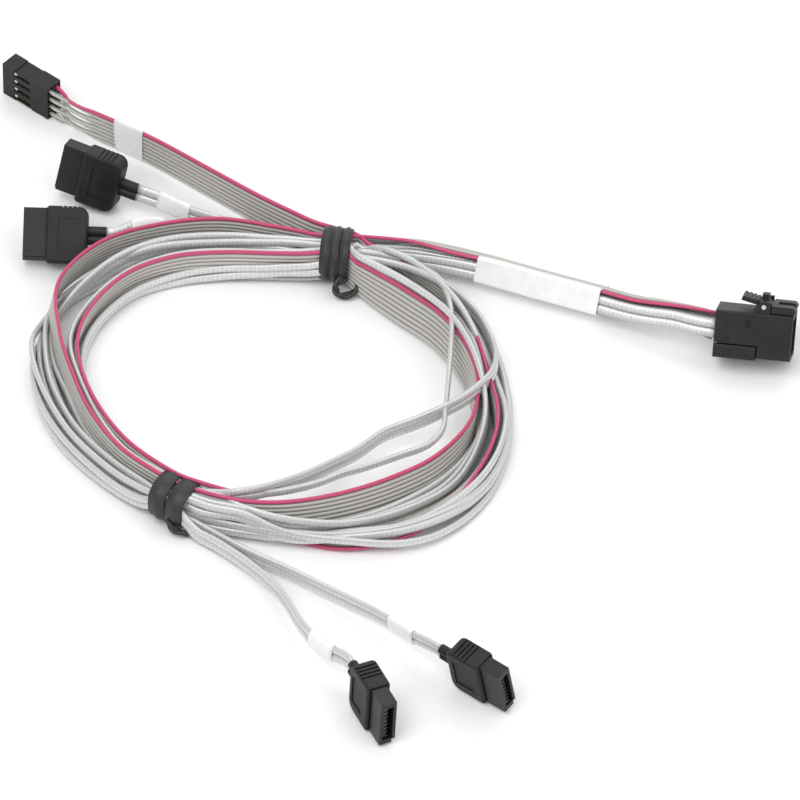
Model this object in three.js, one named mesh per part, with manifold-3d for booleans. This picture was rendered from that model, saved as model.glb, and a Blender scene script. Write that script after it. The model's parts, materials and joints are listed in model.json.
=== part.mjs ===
// Mini-SAS breakout cable: one latched mini-SAS HD plug, eight flat twinax cords in pairs to four
// seven-contact drive plugs, and an eight-way ribbon to a 2 x 4 crimp housing, wound in two turns.
// Millimetres, +Z up. The origin is at the bottom centre of the mini-SAS plug, which mates along +X.
import * as THREE from 'three';
import { mergeVertices } from 'three/addons/utils/BufferGeometryUtils.js';
import Module from 'manifold-3d';

const wasm = await Module();
wasm.setup();

// Clearances
const SEAT_GAP = 0.3;
const PIN_PLAY = 0.2;
const PIN_SEAT = 0.15;
const CUT_THROUGH = 1;

// Mini-SAS plug body
const PLUG_LENGTH = 19.5;
const PLUG_WIDTH = 12;
const PLUG_HEIGHT = 11.5;
const PLUG_ROLL = THREE.MathUtils.degToRad(-34);
const PLUG_EDGE = 0.4;
const HOOD_DEPTH = 8.5;
const HOOD_SIDE_WALL = 0.9;
const HOOD_ROOF_WALL = 1.1;
const BULKHEAD = 2;
const REAR_SIDE_WALL = 1.1;
const REAR_ROOF_WALL = 1.7;
const SLOT_FROM_REAR = 8.4;
const SLOT_SIZE = [1.1, 2];
const SLOT_DEPTH = 0.5;
const SLOT_HEIGHT = 3;
const SNAP_RADIUS = 0.65;
const SNAP_PROUD = 0.25;
const SNAP_SPOTS = [[3.2, -1.4], [6.4, -0.6]];

// Snap-on cover under the rear of the plug
const COVER_LENGTH = 10.75;
const COVER_WALL_HEIGHT = 2.9;
const COVER_DROP = 0.6;
const COVER_FLOOR = 1.5;

// Paddle cards with their raised contact fingers
const CARD_THICK = 1;
const CARD_SPACING = 4.2;
const CARD_SIDE_GAP = 0.4;
const CARD_SETBACK = 1.1;
const CARD_TAIL = 3;
const FINGER_COUNT = 9;
const FINGER_WIDTH = 0.45;
const FINGER_LENGTH = 3.4;
const FINGER_THICK = 0.1;
const FINGER_MARGIN = 0.9;

// Comb that spreads and grips the cords in the rear of the plug
const COMB_CLEAR = 1.5;
const COMB_SETBACK = 1;
const COMB_GROOVES = 4;
const COMB_GROOVE = [1.1, 0.7];

// Latch on top of the plug
const CHEEK_THICK = 1.4;
const CHEEK_LENGTH = 4.2;
const CHEEK_HEIGHT = 2.9;
const CHEEK_REAR_X = -0.4;
const CHEEK_SLOPE = [1.7, 1.1];
const PIN_RADIUS = 0.6;
const PIVOT_X = 2.1;
const PIVOT_HEIGHT = 1.65;
const BOSS_RADIUS = 1.3;
const PAD_LENGTH = 5.6;
const PAD_TILT = THREE.MathUtils.degToRad(12);
const PAD_THICK = 0.9;
const PAD_WIDTH = 7.6;
const PAD_RIDGES = 5;
const RIDGE_HEIGHT = 0.3;
const POST_SIZE = [1.8, 3.4, 1.9];
const HEAD_LENGTH = 5.9;
const HEAD_HEIGHT = 1.8;
const HEAD_INSET = 0.5;
const HEAD_GROOVE_WIDTH = 3.6;
const HEAD_GROOVE_DEPTH = 0.7;
const HEAD_NOSE_CHAMFER = 0.7;

// Drive plug: nose insert, overmould, cord stub
const NOSE_WIDE = 13.4;
const NOSE_THICK = 4.2;
const NOSE_LENGTH = 5.8;
const NOSE_TAIL = 2;
const TONGUE_SLOT = [10.6, 1.5];
const TONGUE_DEPTH = 5.2;
const TONGUE_SHIFT = 0.55;
const KEY_LEG = [1.2, 1.1];
const KEY_NOTCH = [1.1, 0.9];
const CONTACT_COUNT = 7;
const CONTACT_PITCH = 1.27;
const CONTACT_SHIFT = 0.7;
const CONTACT_POCKET = [0.75, 0.85];
const CONTACT_BLADE = [0.45, 0.4];
const CONTACT_SETBACK = 0.35;
const CARRIER_LENGTH = 0.8;
const CARRIER_X = -(TONGUE_DEPTH + SEAT_GAP + CARRIER_LENGTH / 2);
const CONTACT_LENGTH = -CARRIER_X - CONTACT_SETBACK;
const MOULD_WIDE = 14.6;
const MOULD_THICK = 6.2;
const MOULD_LENGTH = 10.5;
const MOULD_CORNER = 2.6;
const MOULD_FRONT_CORNER = 0.6;
const MOULD_EDGE = 0.7;
const RIDGE_RUN = 3.6;
const RIDGE_COUNT = 3;
const RIDGE_DEEP = 0.35;
const RIDGE_GROOVE = 0.55;
const PANEL_SIZE = [5.6, 8.6];
const PANEL_DEPTH = 0.3;
const PANEL_SHIFT = 0.6;
const STUB_LENGTH = 4.6;
const STUB_ROUND = 1.3;
const STUB_SPREAD = 1.1;

// 2 x 4 crimp housing on the ribbon
const SIDE_LENGTH = 15.3;
const SIDE_THICK = 5.1;
const SIDE_TALL = 10.3;
const SIDE_PITCH = 2.54;
const SIDE_ROWS = 4;
const SIDE_FRONT_WALL = 1.2;
const SIDE_CHANNEL = 1.86;
const SIDE_MOUTH = 0.9;
const SIDE_WINDOW = [1.3, 1.5];
const SIDE_WINDOW_FROM_FRONT = 4.4;
const SIDE_FINGER = [4.2, 0.35];
const SIDE_FINGER_GROOVE = 1.1;
const SIDE_RELIEF = [5.6, 0.3];
const SIDE_RELIEF_FROM_FRONT = 4.2;
const TERMINAL_LENGTH = 9.5;
const TERMINAL_SETBACK = 0.6;
const SOCKET_DEPTH = 6;

// Cords
const TWINAX_WIDE = 2.25;
const TWINAX_THICK = 1.25;
const CORD_SPACE = 0.12;
const RIBBON_WIDE = 10.16;
const RIBBON_THICK = 0.8;
const LEAD_COLUMNS = 4;
const LEAD_ROWS = 2;
const CORD_STEP = 5.4;

// Wraps on the cords
const WRAP_WALL = 0.3;
const WRAP_GAP = 0.15;
const LABEL_GAP = 0.35;
const LABEL_CORNER = 0.5;
const FOLD_RADIUS = 0.5;
const SLEEVE_WALL = 0.4;
const SLEEVE_LENGTH = 8;
const LABEL_LENGTH = 33;
const LABEL_PLACE = 0.51;
const MARKER_LENGTH = 8.6;
const MARKER_PLACE = 0.69;

// Twist ties
const TIE_WALL = 0.8;
const TIE_GAP = 0.4;
const TIE_ONE_WIDTH = 7.8;
const TIE_ONE_WRAPS = 3;
const TIE_TWO_WIDTH = 9.6;
const TIE_TWO_WRAPS = 2;
const TIE_GROOVE = 0.3;
const TIE_TAIL_WIRE = 0.6;

// The turned layout on the table. Its points are those of the photographed layout, seen from
// above, and the plug's spot in it is the origin of the part.
const TABLE_TURN = THREE.MathUtils.degToRad(8.4);
const PLUG_SPOT = [89.1, 16.3];

// Stations of the coil, counter-clockwise from the first tie: x, y, half width, height, underside
const COIL_STATIONS = [
  [-15.8, 45.3, 5.6, 11.2, 1.2],
  [-20.3, 46.0, 5.5, 11.2, 1.2],
  [-24.5, 46.2, 5.2, 10.9, 0.8],
  [-32.0, 47.3, 5.8, 10.8, 0.2],
  [-45.0, 48.4, 6.6, 10.8, 0],
  [-58.0, 45.6, 7.8, 10.8, 0],
  [-70.0, 38.6, 8.6, 10.8, 0],
  [-79.5, 27.5, 9, 10.8, 0],
  [-84.3, 14.0, 8.3, 10.8, 0],
  [-84.6, 0, 7.4, 10.8, 0],
  [-80.0, -15.0, 6.3, 10.8, 0],
  [-70.8, -27.6, 5.3, 10.6, 0.4],
  [-61.0, -36.8, 4.7, 9.6, 1.2],
  [-55.5, -40.6, 4.7, 9.4, 1.2],
  [-50.5, -43.4, 4.7, 9.6, 1.2],
  [-46.5, -44.4, 4.5, 10.4, 0.5],
  [-38.0, -46.0, 4.6, 10.8, 0],
  [-28.0, -47.0, 5.6, 10.8, 0],
  [-14.0, -46.8, 7.2, 10.8, 0],
  [1.5, -42.4, 8.4, 10.8, 0],
  [13.6, -31.8, 8.4, 10.8, 0],
  [19.6, -16.0, 7.6, 10.8, 0],
  [19.4, 2.0, 8, 10.8, 0],
  [15.2, 20.0, 8, 10.8, 0],
  [5.0, 33.4, 6, 10.8, 0],
  [-4.5, 40.2, 3.8, 10.8, 0.3],
  [-9.8, 42.6, 3.4, 10.8, 0.8],
  [-12.4, 44.6, 5, 11.2, 1.2],
];
const COIL_RINGS = 84;
const COIL_SIDES = 12;
const COIL_ROUNDNESS = 2.4;

// Routes of the cords on the table, x, y, z, each from the plug or the coil outwards
const LEAD_ROUTE = [
  [70.5, 20.9, 7.8], [60.0, 25.0, 6.0], [48.5, 30.6, 4.9], [33.0, 36.5, 4.95],
  [18.0, 43.0, 4.6], [8.0, 46.7, 3.6], [-1.0, 49.6, 3.3], [-8.6, 51.2, 3.2],
];
const TAIL_ROUTES = {
  a: [[-50.0, -49.8, 2.9], [-44.0, -54.4, 2.9], [-36.5, -61.5, 2.9], [-29.5, -70.4, 3.2],
    [-24.2, -82.8, 4.6], [-19.4, -91.2, 6.0]],
  b: [[-46.2, -50.2, 2.9], [-38.0, -56.4, 2.9], [-28.0, -62.6, 2.9], [-15.0, -71.6, 3.2],
    [-4.2, -80.2, 4.6], [3.4, -88.2, 6.2]],
  c: [[-24.5, 54.4, 3.0], [-33.0, 56.6, 2.9], [-45.0, 60.2, 3.2], [-55.0, 62.9, 4.8],
    [-60.9, 65.2, 6.4]],
  d: [[-25.5, 52.7, 3.0], [-34.0, 54.8, 2.9], [-44.0, 56.6, 3.0], [-56.0, 57.4, 4.2],
    [-66.0, 55.0, 6.6]],
};
const RIBBON_ROUTE = [
  [-21.6, 54.9, 5.9], [-27.0, 58.8, 5.8], [-35.5, 63.4, 5.7], [-47.5, 71.8, 5.7],
  [-61.3, 82.6, 5.8], [-69.0, 88.0, 5.8], [-77.0, 93.2, 5.5], [-83.6, 98.0, 5.3],
];
const RIBBON_LEAN = THREE.MathUtils.degToRad(8);

// Where each plug lies: spot of its nose tip, heading, lean about its own axis, nose lift
const DRIVE_PLUGS = {
  a: { spot: [-2.9, -118.5], heading: -65.5, lean: -3, lift: 0 },
  b: { spot: [26.0, -107.8], heading: -41, lean: 10, lift: 2 },
  c: { spot: [-85.8, 75.6], heading: 157.2, lean: 19, lift: 6 },
  d: { spot: [-95.1, 52.4], heading: 177.3, lean: 45, lift: 0 },
};
const SIDEBAND = { spot: [-100.1, 113.4], heading: 139.4 };

// Finishes
const paint = (color, roughness, metalness = 0) =>
  new THREE.MeshStandardMaterial({ color, roughness, metalness });
const BLACK = () => paint(0x242526, 0.55);
const NOSE_GREY = () => paint(0x2b2d2e, 0.45);
const BOARD = () => paint(0x1f4a33, 0.5);
const GOLD = () => paint(0xc9a24a, 0.3, 1);
const STEEL = () => paint(0x9a9c9e, 0.35, 1);
const SILVER_CORD = () => paint(0xd8dad8, 0.35, 0.2);
const RIBBON_GREY = () => paint(0xbbb8b0, 0.6);
const PAPER = () => paint(0xf2f2ef, 0.7);
const TIE_BLACK = () => paint(0x1c1c1c, 0.6);

// Solids
function solid(geometry) {
  const bare = geometry.clone();
  bare.deleteAttribute('normal');
  bare.deleteAttribute('uv');
  const merged = mergeVertices(bare, 1e-5);
  return new wasm.Manifold(new wasm.Mesh({
    numProp: 3,
    vertProperties: new Float32Array(merged.attributes.position.array),
    triVerts: new Uint32Array(merged.index.array),
  }));
}

function geometryOf(body) {
  const mesh = body.getMesh();
  const geometry = new THREE.BufferGeometry();
  geometry.setAttribute('position', new THREE.BufferAttribute(mesh.vertProperties, 3));
  geometry.setIndex(new THREE.BufferAttribute(mesh.triVerts, 1));
  return geometry;
}

const box = (size, centre) => solid(new THREE.BoxGeometry(...size).translate(...centre));
const cutAll = (body, tools) => tools.reduce((left, tool) => left.subtract(tool), body);
const joinAll = (bodies) => bodies.reduce((sum, body) => sum.add(body));

function outline(points) {
  return new THREE.Shape(points.map(([x, y]) => new THREE.Vector2(x, y)));
}

function roundedRectangle(width, height, radius) {
  const x = width / 2 - radius;
  const y = height / 2 - radius;
  const shape = new THREE.Shape();
  shape.absarc(x, y, radius, 0, Math.PI / 2);
  shape.absarc(-x, y, radius, Math.PI / 2, Math.PI);
  shape.absarc(-x, -y, radius, Math.PI, Math.PI * 1.5);
  shape.absarc(x, -y, radius, Math.PI * 1.5, Math.PI * 2);
  return shape;
}

// A shape drawn in x and z and given its thickness along y, centred
function standing(shape, thick, edge = 0, curveSegments = 4) {
  const geometry = new THREE.ExtrudeGeometry(shape, {
    depth: thick - 2 * edge,
    bevelEnabled: edge > 0,
    bevelThickness: edge,
    bevelSize: edge,
    bevelOffset: -edge,
    bevelSegments: 2,
    curveSegments,
  });
  return geometry.translate(0, 0, -thick / 2 + edge).rotateX(Math.PI / 2);
}

// A shape drawn in y and z and run along x from one place to another
function along(shape, fromX, toX, curveSegments = 4) {
  const geometry = new THREE.ExtrudeGeometry(shape, {
    depth: toX - fromX, bevelEnabled: false, curveSegments,
  });
  const turn = new THREE.Matrix4().set(
    0, 0, 1, fromX,
    1, 0, 0, 0,
    0, 1, 0, 0,
    0, 0, 0, 1,
  );
  return geometry.applyMatrix4(turn);
}

// A section run along a curve. Its x is level and across the run, and its y follows upAt(t).
function run(section, curve, upAt) {
  const steps = Math.max(2, Math.round(curve.getLength() / CORD_STEP));
  const geometry = new THREE.ExtrudeGeometry(section, {
    depth: 1, steps, bevelEnabled: false, curveSegments: 2,
  });
  const spots = geometry.attributes.position;
  const point = new THREE.Vector3();
  for (let i = 0; i < spots.count; i += 1) {
    point.fromBufferAttribute(spots, i);
    const t = THREE.MathUtils.clamp(point.z, 0, 1);
    const ahead = curve.getTangentAt(t);
    const side = upAt(t).clone().cross(ahead).normalize();
    const up = ahead.clone().cross(side);
    const spot = curve.getPointAt(t).addScaledVector(side, point.x).addScaledVector(up, point.y);
    spots.setXYZ(i, spot.x, spot.y, spot.z);
  }
  return geometry;
}

const parts = new THREE.Group();
const plug = new THREE.Group();
const table = new THREE.Group();

function add(group, name, geometry, material) {
  const mesh = new THREE.Mesh(geometry, material);
  mesh.name = name;
  group.add(mesh);
  return mesh;
}

// Mini-SAS plug body, its mating face at +X
const REAR_X = -PLUG_LENGTH / 2;
const FRONT_X = PLUG_LENGTH / 2;
const TOP_Z = PLUG_HEIGHT / 2;
const HOOD_BACK_X = FRONT_X - HOOD_DEPTH;
const REAR_ROOM_X = HOOD_BACK_X - BULKHEAD;
const COVER_FRONT_X = REAR_X + COVER_LENGTH;
const COVER_TOP_Z = -TOP_Z + COVER_WALL_HEIGHT;
const REAR_ROOM = [PLUG_WIDTH - 2 * REAR_SIDE_WALL, PLUG_HEIGHT - 2 * REAR_ROOF_WALL];
const CARD_WIDTH = PLUG_WIDTH - 2 * (HOOD_SIDE_WALL + CARD_SIDE_GAP);
const CHEEK_FRONT_X = CHEEK_REAR_X + CHEEK_LENGTH;
const PIVOT_Z = TOP_Z + PIVOT_HEIGHT;

function housing() {
  const body = solid(standing(
    outline([[REAR_X, -TOP_Z], [FRONT_X, -TOP_Z], [FRONT_X, TOP_Z], [REAR_X, TOP_Z]]),
    PLUG_WIDTH,
    PLUG_EDGE,
  ));
  const cheekShape = outline([
    [CHEEK_REAR_X, TOP_Z - CUT_THROUGH],
    [CHEEK_FRONT_X, TOP_Z - CUT_THROUGH],
    [CHEEK_FRONT_X, TOP_Z + CHEEK_HEIGHT],
    [CHEEK_REAR_X + CHEEK_SLOPE[0], TOP_Z + CHEEK_HEIGHT],
    [CHEEK_REAR_X, TOP_Z + CHEEK_SLOPE[1]],
  ]);
  const cheekY = PLUG_WIDTH / 2 - PLUG_EDGE - CHEEK_THICK / 2;
  const cheeks = [-1, 1].map((side) => solid(
    standing(cheekShape, CHEEK_THICK).translate(0, side * cheekY, 0),
  ));
  const snaps = [];
  for (const [fromRear, height] of SNAP_SPOTS) {
    snaps.push(solid(new THREE.CylinderGeometry(
      SNAP_RADIUS, SNAP_RADIUS, PLUG_WIDTH + 2 * SNAP_PROUD, 12,
    ).translate(REAR_X + fromRear, 0, height)));
  }
  const hood = box(
    [HOOD_DEPTH + CUT_THROUGH, PLUG_WIDTH - 2 * HOOD_SIDE_WALL, PLUG_HEIGHT - 2 * HOOD_ROOF_WALL],
    [HOOD_BACK_X + (HOOD_DEPTH + CUT_THROUGH) / 2, 0, 0],
  );
  const rearLength = REAR_ROOM_X - REAR_X + CUT_THROUGH;
  const rearRoom = box([rearLength, ...REAR_ROOM], [REAR_ROOM_X - rearLength / 2, 0, 0]);
  const coverBed = box(
    [COVER_LENGTH + SEAT_GAP + CUT_THROUGH, PLUG_WIDTH + 2 * CUT_THROUGH, COVER_WALL_HEIGHT + SEAT_GAP
      + CUT_THROUGH],
    [COVER_FRONT_X + SEAT_GAP - (COVER_LENGTH + SEAT_GAP + CUT_THROUGH) / 2, 0,
      COVER_TOP_Z + SEAT_GAP - (COVER_WALL_HEIGHT + SEAT_GAP + CUT_THROUGH) / 2],
  );
  const cardSlots = [-1, 1].map((side) => box(
    [BULKHEAD + 2 * CUT_THROUGH, CARD_WIDTH + 2 * SEAT_GAP,
      CARD_THICK + 2 * (FINGER_THICK + SEAT_GAP)],
    [HOOD_BACK_X - BULKHEAD / 2, 0, side * CARD_SPACING / 2],
  ));
  const sideSlots = [-1, 1].map((side) => box(
    [SLOT_SIZE[0], 2 * SLOT_DEPTH, SLOT_SIZE[1]],
    [REAR_X + SLOT_FROM_REAR, side * PLUG_WIDTH / 2, SLOT_HEIGHT],
  ));
  const pinHole = solid(new THREE.CylinderGeometry(
    PIN_RADIUS + PIN_SEAT, PIN_RADIUS + PIN_SEAT, PLUG_WIDTH + CUT_THROUGH, 20,
  ).translate(PIVOT_X, 0, PIVOT_Z));
  const bare = joinAll([body, ...cheeks, ...snaps]);
  return geometryOf(cutAll(bare, [hood, rearRoom, coverBed, pinHole, ...cardSlots, ...sideSlots]));
}

function cover() {
  const height = COVER_WALL_HEIGHT + COVER_DROP;
  const middle = COVER_FRONT_X - COVER_LENGTH / 2;
  const bottom = -TOP_Z - COVER_DROP;
  const tray = solid(standing(
    outline([[REAR_X, bottom], [COVER_FRONT_X, bottom], [COVER_FRONT_X, COVER_TOP_Z],
      [REAR_X, COVER_TOP_Z]]),
    PLUG_WIDTH,
    PLUG_EDGE,
  ));
  const trough = box(
    [COVER_LENGTH + 2 * CUT_THROUGH, REAR_ROOM[0], height],
    [middle, 0, bottom + COVER_FLOOR + height / 2],
  );
  return geometryOf(tray.subtract(trough));
}

function card() {
  const front = FRONT_X - CARD_SETBACK;
  const length = front - (REAR_ROOM_X - CARD_TAIL);
  const bodies = [box([length, CARD_WIDTH, CARD_THICK], [front - length / 2, 0, 0])];
  const span = CARD_WIDTH - 2 * FINGER_MARGIN;
  for (let i = 0; i < FINGER_COUNT; i += 1) {
    const y = -span / 2 + (span * i) / (FINGER_COUNT - 1);
    bodies.push(box(
      [FINGER_LENGTH, FINGER_WIDTH, CARD_THICK + 2 * FINGER_THICK],
      [front - FINGER_LENGTH / 2 - 0.5 * FINGER_WIDTH, y, 0],
    ));
  }
  return geometryOf(joinAll(bodies));
}

function comb() {
  const from = REAR_X + COMB_SETBACK;
  const length = REAR_ROOM_X - CARD_TAIL - COMB_CLEAR - from;
  const size = [length, REAR_ROOM[0] - 2 * SEAT_GAP, REAR_ROOM[1] - 2 * SEAT_GAP];
  const middle = from + length / 2;
  const grooves = [];
  for (let i = 0; i < COMB_GROOVES; i += 1) {
    const y = (i - (COMB_GROOVES - 1) / 2) * (TWINAX_THICK + CORD_SPACE);
    for (const side of [-1, 1]) {
      grooves.push(box(
        [length + 2 * CUT_THROUGH, COMB_GROOVE[0], 2 * COMB_GROOVE[1]],
        [middle, y, side * size[2] / 2],
      ));
    }
  }
  return geometryOf(cutAll(box(size, [middle, 0, 0]), grooves));
}

function latch() {
  const bossWidth = PLUG_WIDTH - 2 * (PLUG_EDGE + CHEEK_THICK + SEAT_GAP);
  const headWidth = PLUG_WIDTH - 2 * HEAD_INSET;
  const headFrom = CHEEK_FRONT_X + SEAT_GAP;
  const headBottom = TOP_Z + SEAT_GAP;
  const headTop = headBottom + HEAD_HEIGHT;
  const boss = solid(new THREE.CylinderGeometry(BOSS_RADIUS, BOSS_RADIUS, bossWidth, 20)
    .translate(PIVOT_X, 0, PIVOT_Z));
  const neck = box(
    [headFrom - PIVOT_X + CUT_THROUGH, bossWidth, BOSS_RADIUS],
    [(headFrom + PIVOT_X + CUT_THROUGH) / 2, 0, headTop - BOSS_RADIUS / 2],
  );
  const head = solid(standing(outline([
    [headFrom, headBottom],
    [headFrom + HEAD_LENGTH - HEAD_NOSE_CHAMFER, headBottom],
    [headFrom + HEAD_LENGTH, headBottom + HEAD_NOSE_CHAMFER],
    [headFrom + HEAD_LENGTH, headTop - HEAD_NOSE_CHAMFER],
    [headFrom + HEAD_LENGTH - HEAD_NOSE_CHAMFER, headTop],
    [headFrom, headTop],
  ]), headWidth));
  const groove = box(
    [HEAD_LENGTH, HEAD_GROOVE_WIDTH, 2 * HEAD_GROOVE_DEPTH],
    [headFrom + HEAD_LENGTH / 2 + BOSS_RADIUS, 0, headTop],
  );
  const padPoints = [[0, -PAD_THICK]];
  const pitch = PAD_LENGTH / PAD_RIDGES;
  for (let i = 0; i < PAD_RIDGES; i += 1) {
    padPoints.push([i * pitch, 0], [(i + 0.3) * pitch, RIDGE_HEIGHT], [(i + 0.7) * pitch, RIDGE_HEIGHT]);
  }
  padPoints.push([PAD_LENGTH, 0], [PAD_LENGTH, -PAD_THICK]);
  const padOutline = outline(padPoints.map(([x, z]) => [-x, z]).reverse());
  const pad = solid(standing(padOutline, PAD_WIDTH).rotateY(PAD_TILT)
    .translate(PIVOT_X - 0.2 * BOSS_RADIUS, 0, PIVOT_Z + 0.55 * BOSS_RADIUS));
  const post = box(POST_SIZE, [PIVOT_X, 0, PIVOT_Z + BOSS_RADIUS + 0.2 * POST_SIZE[2]]);
  const bore = solid(new THREE.CylinderGeometry(
    PIN_RADIUS + PIN_PLAY, PIN_RADIUS + PIN_PLAY, PLUG_WIDTH, 20,
  ).translate(PIVOT_X, 0, PIVOT_Z));
  return geometryOf(joinAll([boss, neck, head, pad, post]).subtract(groove).subtract(bore));
}

add(plug, 'mini_sas_housing', housing(), BLACK());
add(plug, 'mini_sas_cover', cover(), BLACK());
add(plug, 'latch_lever', latch(), BLACK());
add(
  plug,
  'latch_pin',
  new THREE.CylinderGeometry(PIN_RADIUS, PIN_RADIUS, PLUG_WIDTH - 2 * PLUG_EDGE, 20)
    .translate(PIVOT_X, 0, PIVOT_Z),
  STEEL(),
);
for (const [name, side] of [['lower', -1], ['upper', 1]]) {
  add(plug, `paddle_card_${name}`, card(), BOARD()).position.z = side * CARD_SPACING / 2;
}
add(plug, 'cord_comb', comb(), BLACK());

// The plug is rolled onto its far lower edge, and its lowest point touches the table
plug.rotation.x = PLUG_ROLL;
plug.updateMatrixWorld(true);
const plugBox = new THREE.Box3().setFromObject(plug, true);
const plugMiddle = plugBox.getCenter(new THREE.Vector3());
plug.position.set(-plugMiddle.x, -plugMiddle.y, -plugBox.min.z);
plug.updateMatrixWorld(true);
parts.add(plug);

table.rotation.z = TABLE_TURN;
table.position.set(-PLUG_SPOT[0], -PLUG_SPOT[1], 0).applyAxisAngle(new THREE.Vector3(0, 0, 1), TABLE_TURN);
table.updateMatrixWorld(true);
parts.add(table);

// Drive plug pieces, the nose tip at the origin and the mating direction +X
function nose() {
  const length = NOSE_LENGTH + NOSE_TAIL;
  const slotMiddle = -TONGUE_DEPTH / 2 + CUT_THROUGH / 2;
  const slotFace = TONGUE_SHIFT - TONGUE_SLOT[1] / 2;
  const tools = [
    box([TONGUE_DEPTH + CUT_THROUGH, TONGUE_SLOT[1], TONGUE_SLOT[0]], [slotMiddle, TONGUE_SHIFT, 0]),
    box(
      [TONGUE_DEPTH + CUT_THROUGH, 2 * KEY_LEG[1], KEY_LEG[0]],
      [slotMiddle, slotFace, -TONGUE_SLOT[0] / 2 + KEY_LEG[0] / 2],
    ),
    box(
      [length + 2 * CUT_THROUGH, KEY_NOTCH[1] * 2, KEY_NOTCH[0] * 2],
      [-length / 2, NOSE_THICK / 2, -NOSE_WIDE / 2],
    ),
  ];
  for (let i = 0; i < CONTACT_COUNT; i += 1) {
    tools.push(box(
      [TONGUE_DEPTH + CUT_THROUGH, 2 * CONTACT_POCKET[1], CONTACT_POCKET[0]],
      [slotMiddle, slotFace, contactZ(i)],
    ));
  }
  tools.push(box(
    [CARRIER_LENGTH + 2 * SEAT_GAP, CONTACT_POCKET[1], carrierWidth() + 2 * SEAT_GAP],
    [CARRIER_X, contactY(), CONTACT_SHIFT],
  ));
  return geometryOf(cutAll(box([length, NOSE_THICK, NOSE_WIDE], [-length / 2, 0, 0]), tools));
}

function contactZ(index) {
  return (index - (CONTACT_COUNT - 1) / 2) * CONTACT_PITCH + CONTACT_SHIFT;
}

function contactY() {
  return TONGUE_SHIFT - TONGUE_SLOT[1] / 2 - CONTACT_POCKET[1] / 2;
}

function carrierWidth() {
  return (CONTACT_COUNT - 1) * CONTACT_PITCH + CONTACT_BLADE[0];
}

// Seven blades on the carrier bar that is moulded in behind the tongue slot
function contacts() {
  const y = contactY();
  const blades = [box([CARRIER_LENGTH, CONTACT_BLADE[1], carrierWidth()], [CARRIER_X, y, CONTACT_SHIFT])];
  for (let i = 0; i < CONTACT_COUNT; i += 1) {
    blades.push(box(
      [CONTACT_LENGTH, CONTACT_BLADE[1], CONTACT_BLADE[0]],
      [-CONTACT_SETBACK - CONTACT_LENGTH / 2, y, contactZ(i)],
    ));
  }
  return geometryOf(joinAll(blades));
}

// Overmould seen on its wide face: small front corners and round rear corners
function mouldOutline() {
  const front = -NOSE_LENGTH;
  const rear = front - MOULD_LENGTH;
  const half = MOULD_WIDE / 2;
  const upper = [[front, half - MOULD_FRONT_CORNER], [front - MOULD_FRONT_CORNER, half]];
  for (let i = 0; i <= 4; i += 1) {
    const turn = (i / 4) * (Math.PI / 2);
    upper.push([
      rear + MOULD_CORNER * (1 - Math.sin(turn)),
      half - MOULD_CORNER * (1 - Math.cos(turn)),
    ]);
  }
  const lower = upper.map(([x, z]) => [x, -z]).reverse();
  return outline([...upper, ...lower].reverse());
}

function overmould() {
  const body = solid(standing(mouldOutline(), MOULD_THICK, MOULD_EDGE));
  const rear = -NOSE_LENGTH - MOULD_LENGTH;
  const stubs = [-1, 1].map((side) => {
    const round = new THREE.Shape();
    round.absarc(0, side * STUB_SPREAD, STUB_ROUND, 0, Math.PI * 2);
    return solid(along(round, rear - STUB_LENGTH, rear + CUT_THROUGH, 8));
  });
  const pocket = box(
    [NOSE_TAIL + SEAT_GAP + CUT_THROUGH, NOSE_THICK + 2 * SEAT_GAP, NOSE_WIDE + 2 * SEAT_GAP],
    [-NOSE_LENGTH - (NOSE_TAIL + SEAT_GAP - CUT_THROUGH) / 2, 0, 0],
  );
  const pitch = RIDGE_RUN / RIDGE_COUNT;
  const grooves = [];
  for (let i = 0; i <= RIDGE_COUNT; i += 1) {
    grooves.push(box(
      [RIDGE_GROOVE, MOULD_THICK + 2 * CUT_THROUGH, 2 * RIDGE_DEEP],
      [rear + MOULD_CORNER + 0.5 * RIDGE_GROOVE + i * pitch, 0, MOULD_WIDE / 2],
    ));
  }
  const panels = [-1, 1].map((side) => box(
    [PANEL_SIZE[0], 2 * PANEL_DEPTH, PANEL_SIZE[1]],
    [rear + MOULD_LENGTH / 2 - PANEL_SHIFT, side * MOULD_THICK / 2, 0],
  ));
  return geometryOf(cutAll(joinAll([body, ...stubs]), [pocket, ...grooves, ...panels]));
}

const STUB_END = -NOSE_LENGTH - MOULD_LENGTH - STUB_LENGTH - SEAT_GAP;

// Sets a group on the table: heading, lift of its nose and lean about its own axis, lowest point at 0
function layDown(group, { spot, heading, lean = 0, lift = 0 }) {
  group.rotation.order = 'ZYX';
  group.rotation.set(
    THREE.MathUtils.degToRad(lean), -THREE.MathUtils.degToRad(lift), THREE.MathUtils.degToRad(heading),
  );
  group.updateMatrixWorld(true);
  const bottom = new THREE.Box3().setFromObject(group, true).min.z;
  group.position.set(spot[0], spot[1], -bottom);
  table.add(group);
  group.updateMatrixWorld(true);
}

const noseGeometry = nose();
const contactGeometry = contacts();
const mouldGeometry = overmould();
const drives = {};
for (const [key, place] of Object.entries(DRIVE_PLUGS)) {
  const group = new THREE.Group();
  add(group, `drive_plug_${key}_overmould`, mouldGeometry, BLACK());
  add(group, `drive_plug_${key}_nose`, noseGeometry, NOSE_GREY());
  add(group, `drive_plug_${key}_contacts`, contactGeometry, GOLD());
  layDown(group, place);
  drives[key] = group;
}

// 2 x 4 crimp housing and its terminals, mating face at the origin and facing +X
function crimpSpots() {
  const spots = [];
  for (const side of [-1, 1]) {
    for (let row = 0; row < SIDE_ROWS; row += 1) {
      spots.push([side * SIDE_PITCH / 2, (row - (SIDE_ROWS - 1) / 2) * SIDE_PITCH, side]);
    }
  }
  return spots;
}

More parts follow.
